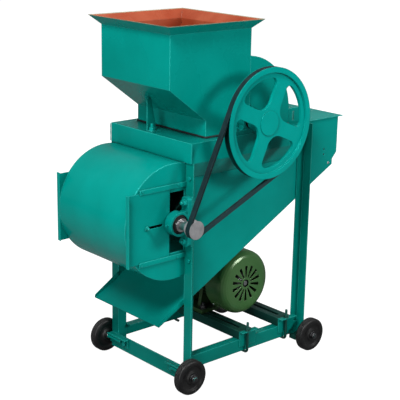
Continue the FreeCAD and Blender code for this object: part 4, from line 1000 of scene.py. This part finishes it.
def round_screw(seat, direction, r):
    """One round-headed screw standing on a seat."""
    return skin(dome_rings(r, 0.55 * r), stand_at(seat, direction, random.uniform(0, 3)))


keep_piece("chute_screw", [round_screw(mm(345.5, -149, 563), (0, -1, 0), 0.0040)], "zinc", "stand", 50)
print("chute screw ready")

# %% [markdown]
# The motor has four screws in the lid of its terminal box, four in the rim of the fan cover and four
# bolts in the end shield.

# %% Motor screws
motor_x, motor_z, lid_z, lid_half = 95, 213, 321, 31
cover_y, cover_screw_r, shield_y, shield_bolt_r = -5, 0.0980, 159, 76
screws = []
for x in (motor_x - lid_half, motor_x + lid_half):
    for y in (41, 109):
        screws.append(round_screw(mm(x, y, lid_z), (0, 0, 1), 0.0032))
quarters = [math.radians(45 + 90 * k) for k in range(4)]
for a in quarters:
    out = Vector((math.cos(a), 0, math.sin(a)))
    screws.append(round_screw(mm(motor_x, cover_y, motor_z) + out * cover_screw_r, out, 0.0036))
keep_piece("motor_screws", screws, "zinc", "stand", 50)
shield = []
for a in quarters:
    seat = mm(motor_x + shield_bolt_r * math.cos(a), shield_y, motor_z + shield_bolt_r * math.sin(a))
    direction = Vector((0, 1, 0))
    shield += headed_screw(seat + direction * head_share * 0.003, direction, 0.003, 0.006, a)
keep_piece("end_shield_screws", shield, "zinc", "stand")
print("motor screws", len(screws))

# %% [markdown]
# The wheels are moulded in one piece. A smooth tyre would look like a toy, so the tread gets three narrow
# grooves, the shoulders are rounded, and the web is sunk. The profile is drawn for half the width, in
# millimetres, and mirrored.

# %% Wheels
half_profile = [(8.6, 0.3), (9.1, 0.0), (16.3, 0.0), (17.1, 0.7), (19.2, 4.4), (20.2, 5.0), (32.8, 5.0),
                (34.0, 4.3), (36.0, 0.7), (36.9, 0.1), (41.0, 0.0), (44.5, 0.15), (46.6, 0.8), (48.5, 2.2),
                (49.6, 4.0), (50.0, 6.0), (50.0, 7.9), (49.1, 8.3), (49.1, 9.1), (50.0, 9.5), (50.0, 12.1),
                (49.1, 12.5)]
wheel_width, axle_z, wheel_face = 26.0, 50, 207
wheel_profile = half_profile + [(r, wheel_width - a) for r, a in reversed(half_profile)]
wheel_rings = turned_rings([(r / 1000, a / 1000) for r, a in wheel_profile], 72)
for end, x in (("front", -230.5), ("rear", 250.0)):
    for side, away in (("near", -1), ("far", 1)):
        place = stand_at(mm(x, wheel_face * away, axle_z), (0, -away, 0))
        wheel = [skin(wheel_rings + wheel_rings[:1], place, "none")]
        moulded = keep_piece("wheel_moulding_%s_%s" % (end, side), wheel, "wheel_plastic",
                             "%s_wheel_%s" % (end, side), 40)
        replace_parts(moulded, "wheel_%s_%s" % (end, side))
print("wheel profile of", len(wheel_profile), "points")

# %% [markdown]
# Outside each wheel the stub axle ends in a washer, a thin nut and a flat threaded end.

# %% Axle ends
axle_ends = []
for low, high in islands("axle_nuts"):
    away = 1 if low.y > 0 else -1
    middle = (low + high) / 2
    seat = Vector((middle.x, low.y if away > 0 else high.y, middle.z))
    place = stand_at(seat, (0, away, 0), random.uniform(0, 3))
    axle_ends += nut_on_washer(place, 0.0064, 0.0120, 0.0016, 0.0095, 0.0096, nut_hole=0.0062, count=40)
    axle_ends.append(skin(thread_rings(0.0066, 0.0060, 0.0120, 0.00175, tip=0.05), place))
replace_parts(keep_piece("axle_nuts_detailed", axle_ends, "dull_steel", "stand"), "axle_nuts")
print("axle ends", len(axle_ends) // 3)

# %% [markdown]
# Two small holes on the chute's side look dark because closed nuts are welded behind them, ready for a
# latch. They are short hexagon caps on the inner face of the panel.

# %% Nuts behind the chute holes
cap_flat, cap_height, cap_crown, crown_share = 0.0045, 0.0046, 0.0062, 0.35
caps = []
for z in (592, 608):
    rings = hex_rings(cap_flat, 0.0, cap_height, 0.0032)
    rings.append([v * crown_share + Vector((0, 0, cap_crown - crown_share * v.z)) for v in rings[-1]])
    caps.append(skin(rings, stand_at(mm(325, -147, z), (0, 1, 0)), "top"))
keep_piece("weld_nuts", caps, "cast", "stand")
print("weld nuts", len(caps))

# %% [markdown]
# The spout's sides are folded up so that nothing slips off. The fold gets lower towards the tip and is
# rounded there. It is one outline of thin sheet: a foot on the tray, an arc at the tip and a sloping top,
# given a thickness and set against each cheek.

# %% Folded sides of the spout
tray_low, tray_high = (Vector(v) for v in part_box("sloping_floor"))
body_front = Vector(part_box("side_panel_near")[0])
sheet, fold_t, tip_height, body_height, corner = 0.002, 0.0012, 0.0075, 0.0135, 0.007
tip_gap, cheek_gap = 0.0008, 0.0001
slope = math.atan2(body_front.z - tray_low.z, body_front.x - tray_low.x)
fold_length = (body_front.x - tray_low.x) / math.cos(slope)


def on_tray(run, rise, y):
    """A point above the tray, from its tip up along the slope."""
    return Vector((tray_low.x + run * math.cos(slope) - rise * math.sin(slope), y,
                   tray_low.z + run * math.sin(slope) + rise * math.cos(slope)))


outline = [(tip_gap, sheet)]
for k in range(9):
    angle = math.pi / 2 * k / 8
    outline.append((tip_gap + corner * (1 - math.cos(angle)),
                    sheet + tip_height - corner * (1 - math.sin(angle))))
outline += [(fold_length, sheet + body_height), (fold_length, sheet)]
folds = []
for away in (-1, 1):
    outer = (tray_high.y - sheet - cheek_gap) * away
    rings = [[on_tray(run, rise, y) for run, rise in outline] for y in (outer - fold_t * away, outer)]
    if away > 0:
        rings = [list(reversed(ring)) for ring in rings]
    folds.append(skin(rings))
keep_piece("spout_folds", folds, "spout_paint", "stand")
print("folds of", round(fold_length * 1000), "mm")

# %% [markdown]
# Last, the sizes are written down, so that the dressed machine can be compared with the solid one.

# %% Sizes and finish
low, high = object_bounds()
print("visual box", [round(v, 3) for v in low], [round(v, 3) for v in high])
